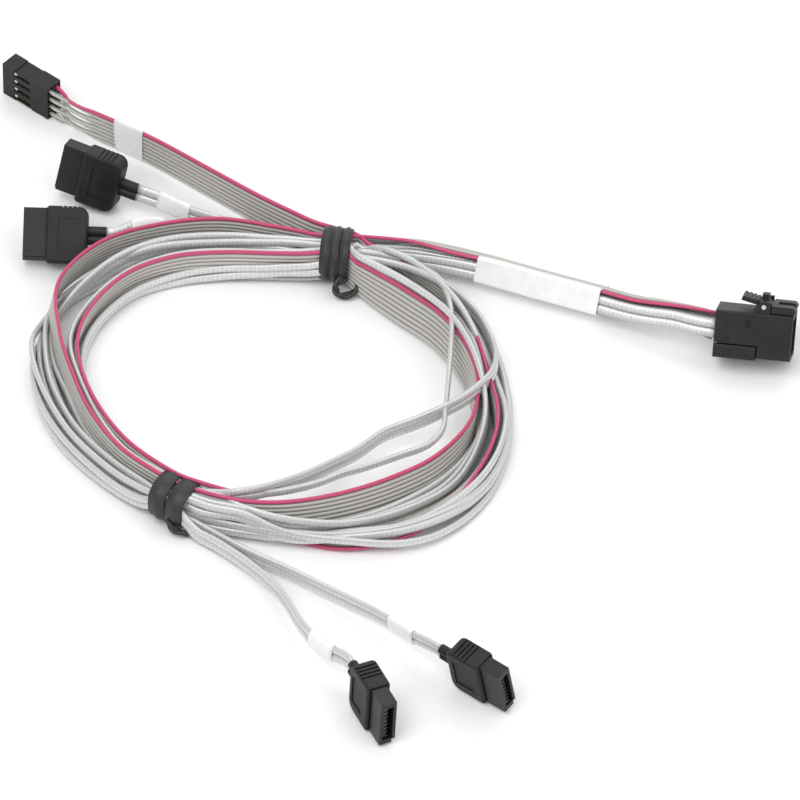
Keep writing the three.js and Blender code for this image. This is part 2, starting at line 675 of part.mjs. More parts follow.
function crimpHousing() {
  const channelLength = SIDE_LENGTH - SIDE_FRONT_WALL + CUT_THROUGH;
  const windowDepth = (SIDE_THICK - SIDE_PITCH - SIDE_CHANNEL) / 2 + CUT_THROUGH;
  const windowX = -SIDE_WINDOW_FROM_FRONT;
  const fingerX = windowX - SIDE_WINDOW[0] / 2 - SIDE_FINGER[0] / 2;
  const tools = [];
  for (const [y, z, side] of crimpSpots()) {
    tools.push(
      box([channelLength, SIDE_CHANNEL, SIDE_CHANNEL],
        [-SIDE_FRONT_WALL - channelLength / 2, y, z]),
      box([2 * SIDE_FRONT_WALL + CUT_THROUGH, SIDE_MOUTH, SIDE_MOUTH], [-SIDE_FRONT_WALL / 2, y, z]),
      box([SIDE_WINDOW[0], 2 * windowDepth, SIDE_WINDOW[1]], [windowX, side * SIDE_THICK / 2, z]),
      box([SIDE_FINGER[0], 2 * SIDE_FINGER[1], SIDE_FINGER_GROOVE], [fingerX, side * SIDE_THICK / 2, z]),
    );
  }
  for (const side of [-1, 1]) {
    tools.push(box(
      [SIDE_RELIEF[0], SIDE_THICK + 2 * CUT_THROUGH, 2 * SIDE_RELIEF[1]],
      [-SIDE_RELIEF_FROM_FRONT - SIDE_RELIEF[0] / 2, 0, side * SIDE_TALL / 2],
    ));
  }
  return geometryOf(cutAll(
    box([SIDE_LENGTH, SIDE_THICK, SIDE_TALL], [-SIDE_LENGTH / 2, 0, 0]), tools,
  ));
}

function crimpTerminal() {
  const across = SIDE_CHANNEL - 2 * SEAT_GAP;
  const middle = -SIDE_FRONT_WALL - TERMINAL_SETBACK - TERMINAL_LENGTH / 2;
  const socket = box(
    [SOCKET_DEPTH + CUT_THROUGH, SIDE_MOUTH, SIDE_MOUTH],
    [middle + (TERMINAL_LENGTH - SOCKET_DEPTH + CUT_THROUGH) / 2, 0, 0],
  );
  return geometryOf(box([TERMINAL_LENGTH, across, across], [middle, 0, 0]).subtract(socket));
}

const sideband = new THREE.Group();
add(sideband, 'sideband_housing', crimpHousing(), BLACK());
crimpSpots().forEach(([y, z], i) => {
  add(sideband, `sideband_terminal_${i + 1}`, crimpTerminal(), GOLD()).position.set(0, y, z);
});
layDown(sideband, SIDEBAND);

// Coil: a ring with its own width and height at each station
const superCosine = (value) => Math.sign(value) * Math.abs(value) ** (2 / COIL_ROUNDNESS);

function stationAt(t) {
  const count = COIL_STATIONS.length;
  const place = t * count;
  const first = Math.floor(place) % count;
  const share = place - Math.floor(place);
  const from = COIL_STATIONS[first];
  const to = COIL_STATIONS[(first + 1) % count];
  return from.map((value, i) => value + (to[i] - value) * share);
}

function coil() {
  const line = new THREE.CatmullRomCurve3(
    COIL_STATIONS.map(([x, y]) => new THREE.Vector3(x, y, 0)), true, 'centripetal',
  );
  const ring = new THREE.TorusGeometry(1, 0.5, COIL_SIDES, COIL_RINGS);
  ring.deleteAttribute('normal');
  ring.deleteAttribute('uv');
  const spots = ring.attributes.position;
  const round = COIL_RINGS + 1;
  for (let i = 0; i < spots.count; i += 1) {
    const t = (i % round) / COIL_RINGS % 1;
    const turn = (Math.floor(i / round) % COIL_SIDES) / COIL_SIDES * Math.PI * 2;
    const [, , halfWidth, height, underside] = stationAt(t);
    const middle = line.getPoint(t);
    const ahead = line.getTangent(t);
    const out = halfWidth * superCosine(Math.cos(turn));
    spots.setXYZ(
      i,
      middle.x + ahead.y * out,
      middle.y - ahead.x * out,
      underside + (height / 2) * (1 + superCosine(Math.sin(turn))),
    );
  }
  return mergeVertices(ring, 1e-4);
}

add(table, 'coil_bundle', coil(), SILVER_CORD());

// Cords that are not in the coil
const UP = new THREE.Vector3(0, 0, 1);
const tablePoint = (group, x) => table.worldToLocal(group.localToWorld(new THREE.Vector3(x, 0, 0)));

function upOf(group) {
  const base = group.localToWorld(new THREE.Vector3());
  const tip = group.localToWorld(new THREE.Vector3(0, 0, 1));
  return table.worldToLocal(tip).sub(table.worldToLocal(base));
}

// A section's up turns from the first direction to the last over the stated part of the run
function turning(first, last, from, to) {
  return (t) => first.clone().lerp(last, THREE.MathUtils.smoothstep(t, from, to)).normalize();
}

// A twinax cord's section: eight corners round the flat of the two cores
function flatOval(x, y) {
  const acrossFlats = Math.cos(Math.PI / 8);
  const points = [];
  for (let i = 0; i < 8; i += 1) {
    const turn = ((i + 0.5) / 8) * Math.PI * 2;
    points.push([
      x + (TWINAX_THICK / 2) * Math.cos(turn) / acrossFlats,
      y + (TWINAX_WIDE / 2) * Math.sin(turn) / acrossFlats,
    ]);
  }
  return outline(points);
}

const curveOf = (points) => new THREE.CatmullRomCurve3(points, false, 'centripetal');
const vectors = (points) => points.map((point) => new THREE.Vector3(...point));

const leadStart = tablePoint(plug, REAR_X + COMB_SETBACK - SEAT_GAP);
const leadOut = tablePoint(plug, REAR_X - 2);
const leadCurve = curveOf([leadStart, leadOut, ...vectors(LEAD_ROUTE)]);
const leadUp = turning(upOf(plug), UP, 0.62, 0.9);
const columnPitch = TWINAX_THICK + CORD_SPACE;
const rowPitch = TWINAX_WIDE + CORD_SPACE;
const leadBlock = [LEAD_COLUMNS * columnPitch - CORD_SPACE, LEAD_ROWS * rowPitch - CORD_SPACE];
let cordNumber = 0;
for (let column = 0; column < LEAD_COLUMNS; column += 1) {
  for (let row = 0; row < LEAD_ROWS; row += 1) {
    cordNumber += 1;
    const x = (column - (LEAD_COLUMNS - 1) / 2) * columnPitch;
    const y = (row - (LEAD_ROWS - 1) / 2) * rowPitch;
    add(table, `lead_twinax_${cordNumber}`, run(flatOval(x, y), leadCurve, leadUp), SILVER_CORD());
  }
}

// The ribbon in the lead folds over the top of the twinax block and down its far side
function foldedRibbon() {
  const top = leadBlock[1] / 2 + WRAP_GAP;
  const far = -leadBlock[0] / 2 - WRAP_GAP;
  const corner = FOLD_RADIUS;
  const straight = RIBBON_WIDE - corner * Math.PI / 2;
  const overTop = 0.52 * straight;
  const down = straight - overTop;
  const inner = [[far + corner + overTop, top], [far + corner, top]];
  const outer = [[far + corner + overTop, top + RIBBON_THICK], [far + corner, top + RIBBON_THICK]];
  const centre = [far + corner, top - corner];
  for (let i = 1; i <= 2; i += 1) {
    const turn = (i / 2) * Math.PI / 2;
    inner.push([centre[0] - corner * Math.sin(turn), centre[1] + corner * Math.cos(turn)]);
    const wide = corner + RIBBON_THICK;
    outer.push([centre[0] - wide * Math.sin(turn), centre[1] + wide * Math.cos(turn)]);
  }
  inner.push([far, centre[1] - down]);
  outer.push([far - RIBBON_THICK, centre[1] - down]);
  return outline([...inner, ...outer.reverse()]);
}

add(table, 'lead_ribbon', run(foldedRibbon(), leadCurve, leadUp), RIBBON_GREY());

const TAIL_NAMES = { a: 'drive_a', b: 'drive_b', c: 'drive_c', d: 'drive_d' };
const tailCurves = {};
const tailUps = {};
for (const [key, route] of Object.entries(TAIL_ROUTES)) {
  const ends = [tablePoint(drives[key], STUB_END - 2), tablePoint(drives[key], STUB_END)];
  tailCurves[key] = curveOf([...vectors(route), ...ends]);
  tailUps[key] = turning(UP, upOf(drives[key]), 0.45, 0.95);
  for (const [name, side] of [['lower', -1], ['upper', 1]]) {
    const section = flatOval(0, side * rowPitch / 2);
    add(
      table,
      `tail_twinax_${TAIL_NAMES[key]}_${name}`,
      run(section, tailCurves[key], tailUps[key]),
      SILVER_CORD(),
    );
  }
}

const ribbonEnd = tablePoint(sideband, -SIDE_LENGTH - SEAT_GAP);
const ribbonCurve = curveOf([...vectors(RIBBON_ROUTE), ribbonEnd]);
const leaning = new THREE.Vector3(Math.sin(RIBBON_LEAN) * 0.6, Math.sin(RIBBON_LEAN) * 0.8, Math.cos(RIBBON_LEAN));
const ribbonUp = turning(leaning, UP, 0.7, 0.95);
const ribbonSection = outline([
  [-RIBBON_THICK / 2, -RIBBON_WIDE / 2], [RIBBON_THICK / 2, -RIBBON_WIDE / 2],
  [RIBBON_THICK / 2, RIBBON_WIDE / 2], [-RIBBON_THICK / 2, RIBBON_WIDE / 2],
]);
add(table, 'tail_ribbon', run(ribbonSection, ribbonCurve, ribbonUp), RIBBON_GREY());

// Wraps: a hollow section run along a stretch of a cord's own curve
function stretch(curve, middle, length) {
  const half = length / 2 / curve.getLength();
  const points = [];
  for (let i = 0; i <= 4; i += 1) {
    points.push(curve.getPointAt(middle - half + (2 * half * i) / 4));
  }
  return curveOf(points);
}

function wrap(width, height, wall, radius, x = 0, y = 0) {
  const shape = roundedRectangle(width + 2 * wall, height + 2 * wall, radius + wall);
  const hole = roundedRectangle(width, height, radius);
  const shift = (path) => new THREE.Shape(path.getPoints(3).map((p) => new THREE.Vector2(p.x + x, p.y + y)));
  const moved = shift(shape);
  moved.holes.push(shift(hole));
  return moved;
}

function wrapOn(name, curve, up, middle, length, section) {
  const share = length / curve.getLength();
  const from = middle - share / 2;
  add(
    table,
    name,
    run(section, stretch(curve, middle, length), (t) => up(from + t * share)),
    PAPER(),
  );
}

const labelHole = leadBlock.map((size) => size + RIBBON_THICK + WRAP_GAP + 2 * LABEL_GAP);
const labelShift = (RIBBON_THICK + WRAP_GAP) / 2;
wrapOn('cord_label', leadCurve, leadUp, LABEL_PLACE, LABEL_LENGTH, wrap(
  ...labelHole, WRAP_WALL, LABEL_CORNER, -labelShift, labelShift,
));
const sleeveHole = [TWINAX_THICK + 2 * SEAT_GAP, 2 * rowPitch - CORD_SPACE + 2 * SEAT_GAP];
for (const key of Object.keys(TAIL_ROUTES)) {
  const middle = 1 - 12 / tailCurves[key].getLength();
  wrapOn(
    `marker_sleeve_${key}`, tailCurves[key], tailUps[key], middle, SLEEVE_LENGTH,
    wrap(...sleeveHole, SLEEVE_WALL, 0.8),
  );
}
wrapOn('ribbon_marker', ribbonCurve, ribbonUp, MARKER_PLACE, MARKER_LENGTH, wrap(
  RIBBON_THICK + 2 * SEAT_GAP, RIBBON_WIDE + 2 * SEAT_GAP, WRAP_WALL, 0.5,
));

// Twist ties: beads round the coil's own section, joined side by side, with a twisted tail
function tie(station, heading, width, wraps, tail) {
  const [x, y, halfWidth, height, underside] = COIL_STATIONS[station];
  const beadOutline = (grow) => {
    const points = [];
    for (let i = 0; i < 20; i += 1) {
      const turn = (i / 20) * Math.PI * 2;
      points.push(new THREE.Vector2(
        (halfWidth + grow) * superCosine(Math.cos(turn)),
        (height / 2 + grow) * superCosine(Math.sin(turn)),
      ));
    }
    return points;
  };
  const bead = (grow, from, to) => {
    const shape = new THREE.Shape(beadOutline(TIE_GAP + grow));
    shape.holes.push(new THREE.Path(beadOutline(TIE_GAP)));
    return solid(along(shape, from, to));
  };
  const pitch = width / wraps;
  const rings = [bead(TIE_WALL - TIE_GROOVE, -width / 2, width / 2)];
  for (let i = 0; i < wraps; i += 1) {
    const from = -width / 2 + (i + 0.08) * pitch;
    rings.push(bead(TIE_WALL, from, from + 0.84 * pitch));
  }
  const place = new THREE.Matrix4().makeRotationZ(heading)
    .setPosition(x, y, underside + height / 2);
  const body = geometryOf(joinAll(rings)).applyMatrix4(place);
  const wire = new THREE.Shape();
  wire.absarc(0, 0, TIE_TAIL_WIRE, 0, Math.PI * 2);
  const tailCurve = curveOf(vectors(tail));
  return geometryOf(solid(body).add(solid(run(wire, tailCurve, () => UP))));
}

const TIE_ONE_TAIL = [[-14.6, 38.5, 4.6], [-16.2, 37.2, 2.2], [-15.8, 35.6, 1.1], [-12.6, 35.9, 1.1],
  [-11.4, 37.4, 1.8]];
const TIE_TWO_TAIL = [[-56.9, -46.4, 3.4], [-55.2, -47.6, 1.6], [-52.9, -48.4, 1.0]];
add(table, 'twist_tie_one', tie(0, THREE.MathUtils.degToRad(-9), TIE_ONE_WIDTH, TIE_ONE_WRAPS,
  TIE_ONE_TAIL), TIE_BLACK());
add(table, 'twist_tie_two', tie(13, THREE.MathUtils.degToRad(-31), TIE_TWO_WIDTH, TIE_TWO_WRAPS,
  TIE_TWO_TAIL), TIE_BLACK());

export default parts;
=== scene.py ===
"""Looks of the mini-SAS breakout cable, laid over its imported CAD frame."""

import json
import logging
import math
import random
from dataclasses import dataclass, field
from enum import Enum
from typing import Sequence

import bpy
import numpy as np
from mathutils import Matrix, Vector


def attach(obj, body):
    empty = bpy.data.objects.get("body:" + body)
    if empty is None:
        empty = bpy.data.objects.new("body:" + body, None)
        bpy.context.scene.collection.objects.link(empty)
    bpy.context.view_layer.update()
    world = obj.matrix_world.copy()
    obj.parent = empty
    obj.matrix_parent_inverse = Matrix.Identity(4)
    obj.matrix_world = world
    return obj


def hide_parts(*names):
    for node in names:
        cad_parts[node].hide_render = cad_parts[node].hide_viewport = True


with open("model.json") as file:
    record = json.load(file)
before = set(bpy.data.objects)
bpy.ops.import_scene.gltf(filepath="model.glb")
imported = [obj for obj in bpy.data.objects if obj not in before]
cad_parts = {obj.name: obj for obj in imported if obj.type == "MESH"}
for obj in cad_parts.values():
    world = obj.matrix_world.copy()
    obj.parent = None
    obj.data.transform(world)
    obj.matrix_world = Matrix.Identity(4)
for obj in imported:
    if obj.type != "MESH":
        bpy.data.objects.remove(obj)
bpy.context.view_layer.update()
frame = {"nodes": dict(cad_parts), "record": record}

LOG = logging.getLogger("breakout_cable")
MM = 0.001
BODY = "cable"
Triple = tuple[float, float, float]
Colour = tuple[float, float, float]
SKY = np.array([0.0, 0.0, 1.0])
PIN_PITCH = 2.54


class Slot(str, Enum):
    """Material slots of the record."""

    BLACK = "black_plastic"
    NOSE = "nose_plastic"
    GOLD = "gold_contact"
    BOARD = "circuit_board"
    PIN = "pin_steel"
    TWINAX = "twinax_jacket"
    RIBBON = "ribbon_jacket"
    WRAP = "white_wrap"
    TIE = "tie_coat"


# ---------------------------------------------------------------- shading


class Value:
    """A shader socket that takes part in arithmetic."""

    def __init__(self, graph: "Graph", socket: bpy.types.NodeSocket) -> None:
        """Wrap one output socket of a graph."""
        self.graph = graph
        self.socket = socket

    def _math(self, operation: str, *inputs: "Value | float") -> "Value":
        """Return a Math node's result for the stated operation."""
        return self.graph.math(operation, *inputs)

    def __add__(self, other: "Value | float") -> "Value":
        """Return self + other."""
        return self._math("ADD", self, other)

    def __radd__(self, other: float) -> "Value":
        """Return other + self."""
        return self._math("ADD", other, self)

    def __sub__(self, other: "Value | float") -> "Value":
        """Return self - other."""
        return self._math("SUBTRACT", self, other)

    def __rsub__(self, other: float) -> "Value":
        """Return other - self."""
        return self._math("SUBTRACT", other, self)

    def __mul__(self, other: "Value | float") -> "Value":
        """Return self * other."""
        return self._math("MULTIPLY", self, other)

    def __rmul__(self, other: float) -> "Value":
        """Return other * self."""
        return self._math("MULTIPLY", other, self)

    def fraction(self) -> "Value":
        """Return the part after the decimal point."""
        return self._math("FRACT", self)

    def absolute(self) -> "Value":
        """Return the size without its sign."""
        return self._math("ABSOLUTE", self)

    def below(self, limit: float) -> "Value":
        """Return 1 where the value is below the limit, else 0."""
        return self._math("LESS_THAN", self, limit)

    def ramp(self, low: float, high: float) -> "Value":
        """Return a smooth step from 0 at low to 1 at high."""
        node = self.graph.node(
            "ShaderNodeMapRange",
            {"interpolation_type": "SMOOTHSTEP"},
            {"Value": self, "From Min": low, "From Max": high},
        )
        return Value(self.graph, node.outputs["Result"])


class Graph:
    """The node tree of a material or a world, and its main shader node."""

    def __init__(self, owner: bpy.types.Material | bpy.types.World, shader: str) -> None:
        """Turn the owner's nodes on and keep the shader node of that name."""
        owner.use_nodes = True
        self.owner = owner
        self.tree = owner.node_tree
        self.shader = self.tree.nodes[shader]

    @classmethod
    def of_material(cls, name: str) -> "Graph":
        """Return the graph of a new material."""
        return cls(bpy.data.materials.new(name), "Principled BSDF")

    def node(
        self, kind: str, settings: dict[str, object], values: dict[str | int, object]
    ) -> bpy.types.Node:
        """Add a node.

        Args:
            kind: Blender's node type.
            settings: Attributes of the node.
            values: Inputs by name or index; a Value is linked, anything else is set.

        Returns:
            The new node.
        """
        made = self.tree.nodes.new(kind)
        for key, setting in settings.items():
            setattr(made, key, setting)
        for key, value in values.items():
            if isinstance(value, Value):
                self.tree.links.new(value.socket, made.inputs[key])
            else:
                made.inputs[key].default_value = value
        return made

    def math(self, operation: str, *inputs: "Value | float") -> Value:
        """Return a Math node's value."""
        node = self.node(
            "ShaderNodeMath", {"operation": operation}, dict(enumerate(inputs))
        )
        return Value(self, node.outputs[0])

    def uv(self) -> tuple[Value, Value]:
        """Return u, round the section, and v, metres along the cord."""
        source = self.node("ShaderNodeUVMap", {}, {})
        parts = self.node(
            "ShaderNodeSeparateXYZ", {}, {0: Value(self, source.outputs["UV"])}
        )
        return Value(self, parts.outputs["X"]), Value(self, parts.outputs["Y"])

    def spot(self) -> Value:
        """Return the surface position in object space."""
        node = self.node("ShaderNodeTexCoord", {}, {})
        return Value(self, node.outputs["Object"])

    def noise(self, scale: float, detail: float = 3.0, rough: float = 0.55) -> Value:
        """Return noise of the stated scale per metre in object space."""
        node = self.node(
            "ShaderNodeTexNoise",
            {},
            {
                "Vector": self.spot(),
                "Scale": scale,
                "Detail": detail,
                "Roughness": rough,
            },
        )
        return Value(self, node.outputs["Fac"])

    def mix(self, share: "Value | float", first: object, second: object) -> Value:
        """Return a colour mix; first shows where share is 0."""
        node = self.node(
            "ShaderNodeMix",
            {"data_type": "RGBA"},
            {0: share, 6: first, 7: second},
        )
        return Value(self, node.outputs[2])

    def bump(self, height: Value, depth: float, strength: float = 1.0) -> None:
        """Feed a bump of the stated depth in metres to the shader's normal."""
        node = self.node(
            "ShaderNodeBump",
            {},
            {"Height": height, "Distance": depth, "Strength": strength},
        )
        self.set(Normal=Value(self, node.outputs["Normal"]))

    def set(self, **inputs: object) -> None:
        """Set or link the shader's inputs; underscores stand for spaces."""
        for key, value in inputs.items():
            socket = self.shader.inputs[key.replace("_", " ")]
            if isinstance(value, Value):
                self.tree.links.new(value.socket, socket)
            else:
                socket.default_value = value


def rgba(colour: Colour) -> tuple[float, float, float, float]:
    """Return the colour with full opacity."""
    return (*colour, 1.0)


@dataclass(frozen=True)
class MouldedPlastic:
    """Injection-moulded plastic with a spark-eroded grain."""

    name: str
    colour: Colour
    worn: Colour
    roughness: float = 0.5
    grain: float = 9000.0
    depth: float = 0.00003
    cloud: float = 160.0
    specular: float = 0.28

    def make(self) -> bpy.types.Material:
        """Return the material."""
        graph = Graph.of_material(self.name)
        grain = graph.noise(self.grain, 2.0)
        cloud = graph.noise(self.cloud, 4.0)
        graph.set(
            Base_Color=graph.mix(
                cloud.ramp(0.35, 0.75), rgba(self.colour), rgba(self.worn)
            ),
            Roughness=self.roughness + 0.12 * (cloud - 0.5) + 0.1 * (grain - 0.5),
            Specular_IOR_Level=self.specular,
        )
        graph.bump(grain, self.depth, 0.6)
        return graph.owner


@dataclass(frozen=True)
class TwinaxJacket:
    """Clear jacket over a spirally wrapped silver foil, with painted shade along its narrow
    edges.
    """

    name: str
    foil: Colour = (0.6, 0.61, 0.605)
    bright: Colour = (0.8, 0.805, 0.8)
    # Grey of the foil seam lines, also used as painted shade along the cord's two narrow edges
    seam: Colour = (0.42, 0.43, 0.435)
    pitch: float = 0.0012

    def make(self) -> bpy.types.Material:
        """Return the material."""
        graph = Graph.of_material(self.name)
        around, along = graph.uv()
        turns = (along * (1.0 / self.pitch) + around).fraction()
        seam = 1.0 - (turns - 0.5).absolute().ramp(0.05, 0.3)
        # rim is 1 on the middle of the broad faces and edge is 1 on the two narrow edges, which
        # get painted shade
        rim = (((around * 2.0).fraction() - 0.5).absolute() * 2.0).ramp(0.35, 0.95)
        edge = 1.0 - rim
        crinkle = graph.noise(2200.0, 4.0, 0.65)
        shade = graph.mix(crinkle.ramp(0.3, 0.75), rgba(self.foil), rgba(self.bright))
        lined = graph.mix(seam * 0.32, shade, rgba(self.seam))
        graph.set(
            # Painted shade: the seam grey laid along the narrow edges
            Base_Color=graph.mix(edge * 0.6, lined, rgba(self.seam)),
            Roughness=0.3 + 0.22 * crinkle,
            Metallic=0.3,
            Coat_Weight=0.5,
            Coat_Roughness=0.1,
        )
        graph.bump(crinkle * 0.6 - seam * 0.35, 0.00006, 0.8)
        return graph.owner


@dataclass(frozen=True)
class RibbonJacket:
    """Grey ribbed ribbon with one coloured edge conductor and painted shade in the grooves
    between conductors.
    """

    name: str
    grey: Colour = (0.5, 0.485, 0.455)
    # Dark grey painted as shade in the grooves between conductors
    groove_shade: Colour = (0.17, 0.165, 0.155)
    edge: Colour = (0.52, 0.06, 0.16)

    def make(self) -> bpy.types.Material:
        """Return the material; u counts the conductors, v is the length."""
        graph = Graph.of_material(self.name)
        around, _ = graph.uv()
        place = around.fraction()
        # Painted shade where neighbouring conductors meet, at the whole numbers of u
        groove_shade = (place - 0.5).absolute().ramp(0.3, 0.48)
        dust = graph.noise(1400.0, 3.0)
        grey = graph.mix(groove_shade * 0.85, rgba(self.grey), rgba(self.groove_shade))
        striped = graph.mix(around.below(1.0), grey, rgba(self.edge))
        graph.set(
            Base_Color=striped,
            Roughness=0.5 + 0.15 * dust,
            Coat_Weight=0.08,
            Coat_Roughness=0.35,
        )
        graph.bump(dust, 0.00003, 0.5)
        return graph.owner


@dataclass(frozen=True)
class FilmWrap:
    """White film with a faint sheen and soft wrinkles."""

    name: str
    colour: Colour = (0.86, 0.86, 0.85)
    dull: Colour = (0.8, 0.8, 0.79)

    def make(self) -> bpy.types.Material:
        """Return the material."""
        graph = Graph.of_material(self.name)
        soft = graph.noise(420.0, 3.0)
        fine = graph.noise(5200.0, 2.0)
        graph.set(
            Base_Color=graph.mix(
                soft.ramp(0.3, 0.8), rgba(self.colour), rgba(self.dull)
            ),
            Roughness=0.42 + 0.2 * fine,
            Coat_Weight=0.15,
            Coat_Roughness=0.25,
        )
        graph.bump(soft, 0.00025, 0.5)
        return graph.owner


@dataclass(frozen=True)
class TieCoat:
    """Black coat of a twist tie."""

    name: str
    colour: Colour = (0.01, 0.01, 0.011)
    worn: Colour = (0.025, 0.025, 0.027)

    def make(self) -> bpy.types.Material:
        """Return the material."""
        graph = Graph.of_material(self.name)
        fine = graph.noise(7000.0, 2.0)
        cloud = graph.noise(300.0, 3.0)
        graph.set(
            Base_Color=graph.mix(cloud, rgba(self.colour), rgba(self.worn)),
            Roughness=0.36 + 0.25 * fine,
            Specular_IOR_Level=0.4,
            Coat_Weight=0.12,
            Coat_Roughness=0.3,
        )
        graph.bump(fine + 0.6 * cloud, 0.00004, 0.6)
        return graph.owner


@dataclass(frozen=True)
class Metal:
    """Plated or drawn metal with fine scratches."""

    name: str
    colour: Colour
    roughness: float = 0.3

    def make(self) -> bpy.types.Material:
        """Return the material."""
        graph = Graph.of_material(self.name)
        fine = graph.noise(6000.0, 3.0)
        graph.set(
            Base_Color=graph.mix(
                fine.ramp(0.3, 0.8),
                rgba(self.colour),
                rgba(tuple(0.8 * c for c in self.colour)),
            ),
            Metallic=1.0,
            Roughness=self.roughness + 0.15 * fine,
        )
        graph.bump(fine, 0.00001, 0.4)
        return graph.owner


@dataclass(frozen=True)
class CircuitBoard:
    """Green solder mask over a woven board."""

    name: str
    mask: Colour = (0.02, 0.09, 0.05)
    thin: Colour = (0.03, 0.13, 0.07)

    def make(self) -> bpy.types.Material:
        """Return the material, lighter where the mask is thin over the weave."""
        graph = Graph.of_material(self.name)
        weave = graph.noise(3000.0, 2.0)
        graph.set(
            Base_Color=graph.mix(weave, rgba(self.mask), rgba(self.thin)),
            Roughness=0.3 + 0.2 * weave,
            Coat_Weight=0.3,
        )
        graph.bump(weave, 0.00002, 0.4)
        return graph.owner


FINISHES: dict[Slot, object] = {
    Slot.BLACK: MouldedPlastic(
        "black_plastic", (0.008, 0.008, 0.009), (0.016, 0.016, 0.017)
    ),
    Slot.NOSE: MouldedPlastic(
        "nose_plastic", (0.011, 0.011, 0.012), (0.018, 0.018, 0.019), roughness=0.4
    ),
    Slot.GOLD: Metal("gold_contact", (0.8, 0.58, 0.26)),
    Slot.BOARD: CircuitBoard("circuit_board"),
    Slot.PIN: Metal("pin_steel", (0.55, 0.55, 0.57), 0.35),
    Slot.TWINAX: TwinaxJacket("twinax_jacket"),
    Slot.RIBBON: RibbonJacket("ribbon_jacket"),
    Slot.WRAP: FilmWrap("white_wrap"),
    Slot.TIE: TieCoat("tie_coat"),
}


class Wardrobe:
    """Makes each finish once and dresses pieces and CAD nodes in it."""

    def __init__(self) -> None:
        """Start with no material made."""
        self.made: dict[Slot, bpy.types.Material] = {}

    def material(self, slot: Slot) -> bpy.types.Material:
        """Return the slot's material, made on its first use."""
        if slot not in self.made:
            self.made[slot] = FINISHES[slot].make()
        return self.made[slot]

    def dress(self, piece: bpy.types.Object, slot: Slot) -> bpy.types.Object:
        """Give a piece its slot's finish and its body."""
        piece.data.materials.clear()
        piece.data.materials.append(self.material(slot))
        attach(piece, BODY)
        return piece

    def dress_nodes(self) -> None:
        """Give every CAD node the procedural finish of its record slot."""
        for entry in frame["record"]["subparts"]:
            node = frame["nodes"][entry["node"]]
            material = self.material(Slot(entry["material_slot"]))
            for place in node.material_slots:
                place.material = material


# ---------------------------------------------------------------- places


def unit(vectors: np.ndarray) -> np.ndarray:
    """Return the vectors at length one."""
    return vectors / np.linalg.norm(vectors, axis=-1, keepdims=True)


def square_to(ahead: np.ndarray, vectors: np.ndarray) -> np.ndarray:
    """Return the unit vectors nearest to the given ones at right angles to ahead."""
    return unit(vectors - ahead * np.sum(vectors * ahead, axis=1)[:, None])


def reached(points: np.ndarray) -> np.ndarray:
    """Return the length walked at each point."""
    steps = np.linalg.norm(np.diff(points, axis=0), axis=1)
    return np.concatenate([[0.0], np.cumsum(steps)])


def smoothstep(share: np.ndarray, start: float = 0.0, span: float = 1.0) -> np.ndarray:
    """Return a column that eases from 0 at start to 1 over the span."""
    t = np.clip((share - start) / span, 0.0, 1.0)
    return (t * t * (3 - 2 * t))[:, None]


def angles(count: int, shift: float = 0.0) -> list[float]:
    """Return even angles of one round, in radians."""
    return [(j + shift) / count * 2 * math.pi for j in range(count)]


def shares(count: int) -> list[float]:
    """Return even shares from 0 to 1, both included."""
    return [j / count for j in range(count + 1)]


def signed_power(value: float, power: float) -> float:
    """Return the power of the value's size, with the value's sign."""
    return math.copysign(abs(value) ** power, value)


def superellipse(turn: float, power: float = 2.4) -> tuple[float, float]:
    """Return the point of a rounded unit box at an angle."""
    return signed_power(math.cos(turn), 2 / power), signed_power(math.sin(turn), 2 / power)


def add_object(name: str, data: bpy.types.ID) -> bpy.types.Object:
    """Return a new object of the scene that holds the data."""
    made = bpy.data.objects.new(name, data)
    bpy.context.scene.collection.objects.link(made)
    return made


def aim_at(seat: bpy.types.Object, spot: Vector, aim: Vector) -> None:
    """Put a camera or lamp at a spot and turn it to its aim."""
    seat.location = spot
    seat.rotation_euler = (aim - spot).to_track_quat("-Z", "Y").to_euler()


@dataclass(frozen=True)
class Table:
    """The photographed layout's own axes, turned with the mini-SAS plug."""

    turn: float = math.radians(8.4)
    plug_spot: tuple[float, float] = (89.1, 16.3)

    def place(self, spot: Sequence[float]) -> np.ndarray:
        """Return a layout point in millimetres as a row point in metres."""
        x, y = spot[0] - self.plug_spot[0], spot[1] - self.plug_spot[1]
        return MM * np.array([*self.along((x, y)), spot[2]])

    def along(self, way: Sequence[float]) -> tuple[float, float]:
        """Return a level direction of the layout in the row frame."""
        cos, sin = math.cos(self.turn), math.sin(self.turn)
        return cos * way[0] - sin * way[1], sin * way[0] + cos * way[1]

    def centre(self) -> Vector:
        """Return the middle of the layout in the row frame."""
        return Vector(self.place((0.0, 0.0, 0.0)))


@dataclass(frozen=True)
class Sight:
    """The photographing camera, 45 degrees above the layout and nearly without perspective."""

    table: Table
    scale: float = 4.0
    middle: float = 400.0
    elevation: float = math.radians(45)
    distance: float = 3.0
    lens: float = 540.0

    def spot(self, x: float, y: float, height: float) -> Triple:
        """Return the layout point seen at x, y of the frame at a height in mm."""
        down = self.scale * math.sin(self.elevation)
        return ((x - self.middle) / self.scale, (self.middle - y) / down - height, height)

    def add_camera(self) -> bpy.types.Object:
        """Add the camera and make it the scene's."""
        data = bpy.data.cameras.new("camera")
        data.lens = self.lens
        data.clip_end = 20.0
        camera = add_object("camera", data)
        aim = self.table.centre()
        back_x, back_y = self.table.along((0.0, -1.0))
        level = math.cos(self.elevation)
        away = Vector((back_x * level, back_y * level, math.sin(self.elevation)))
        aim_at(camera, aim + self.distance * away, aim)
        bpy.context.scene.camera = camera
        return camera


SAME_SPOT = 1e-6


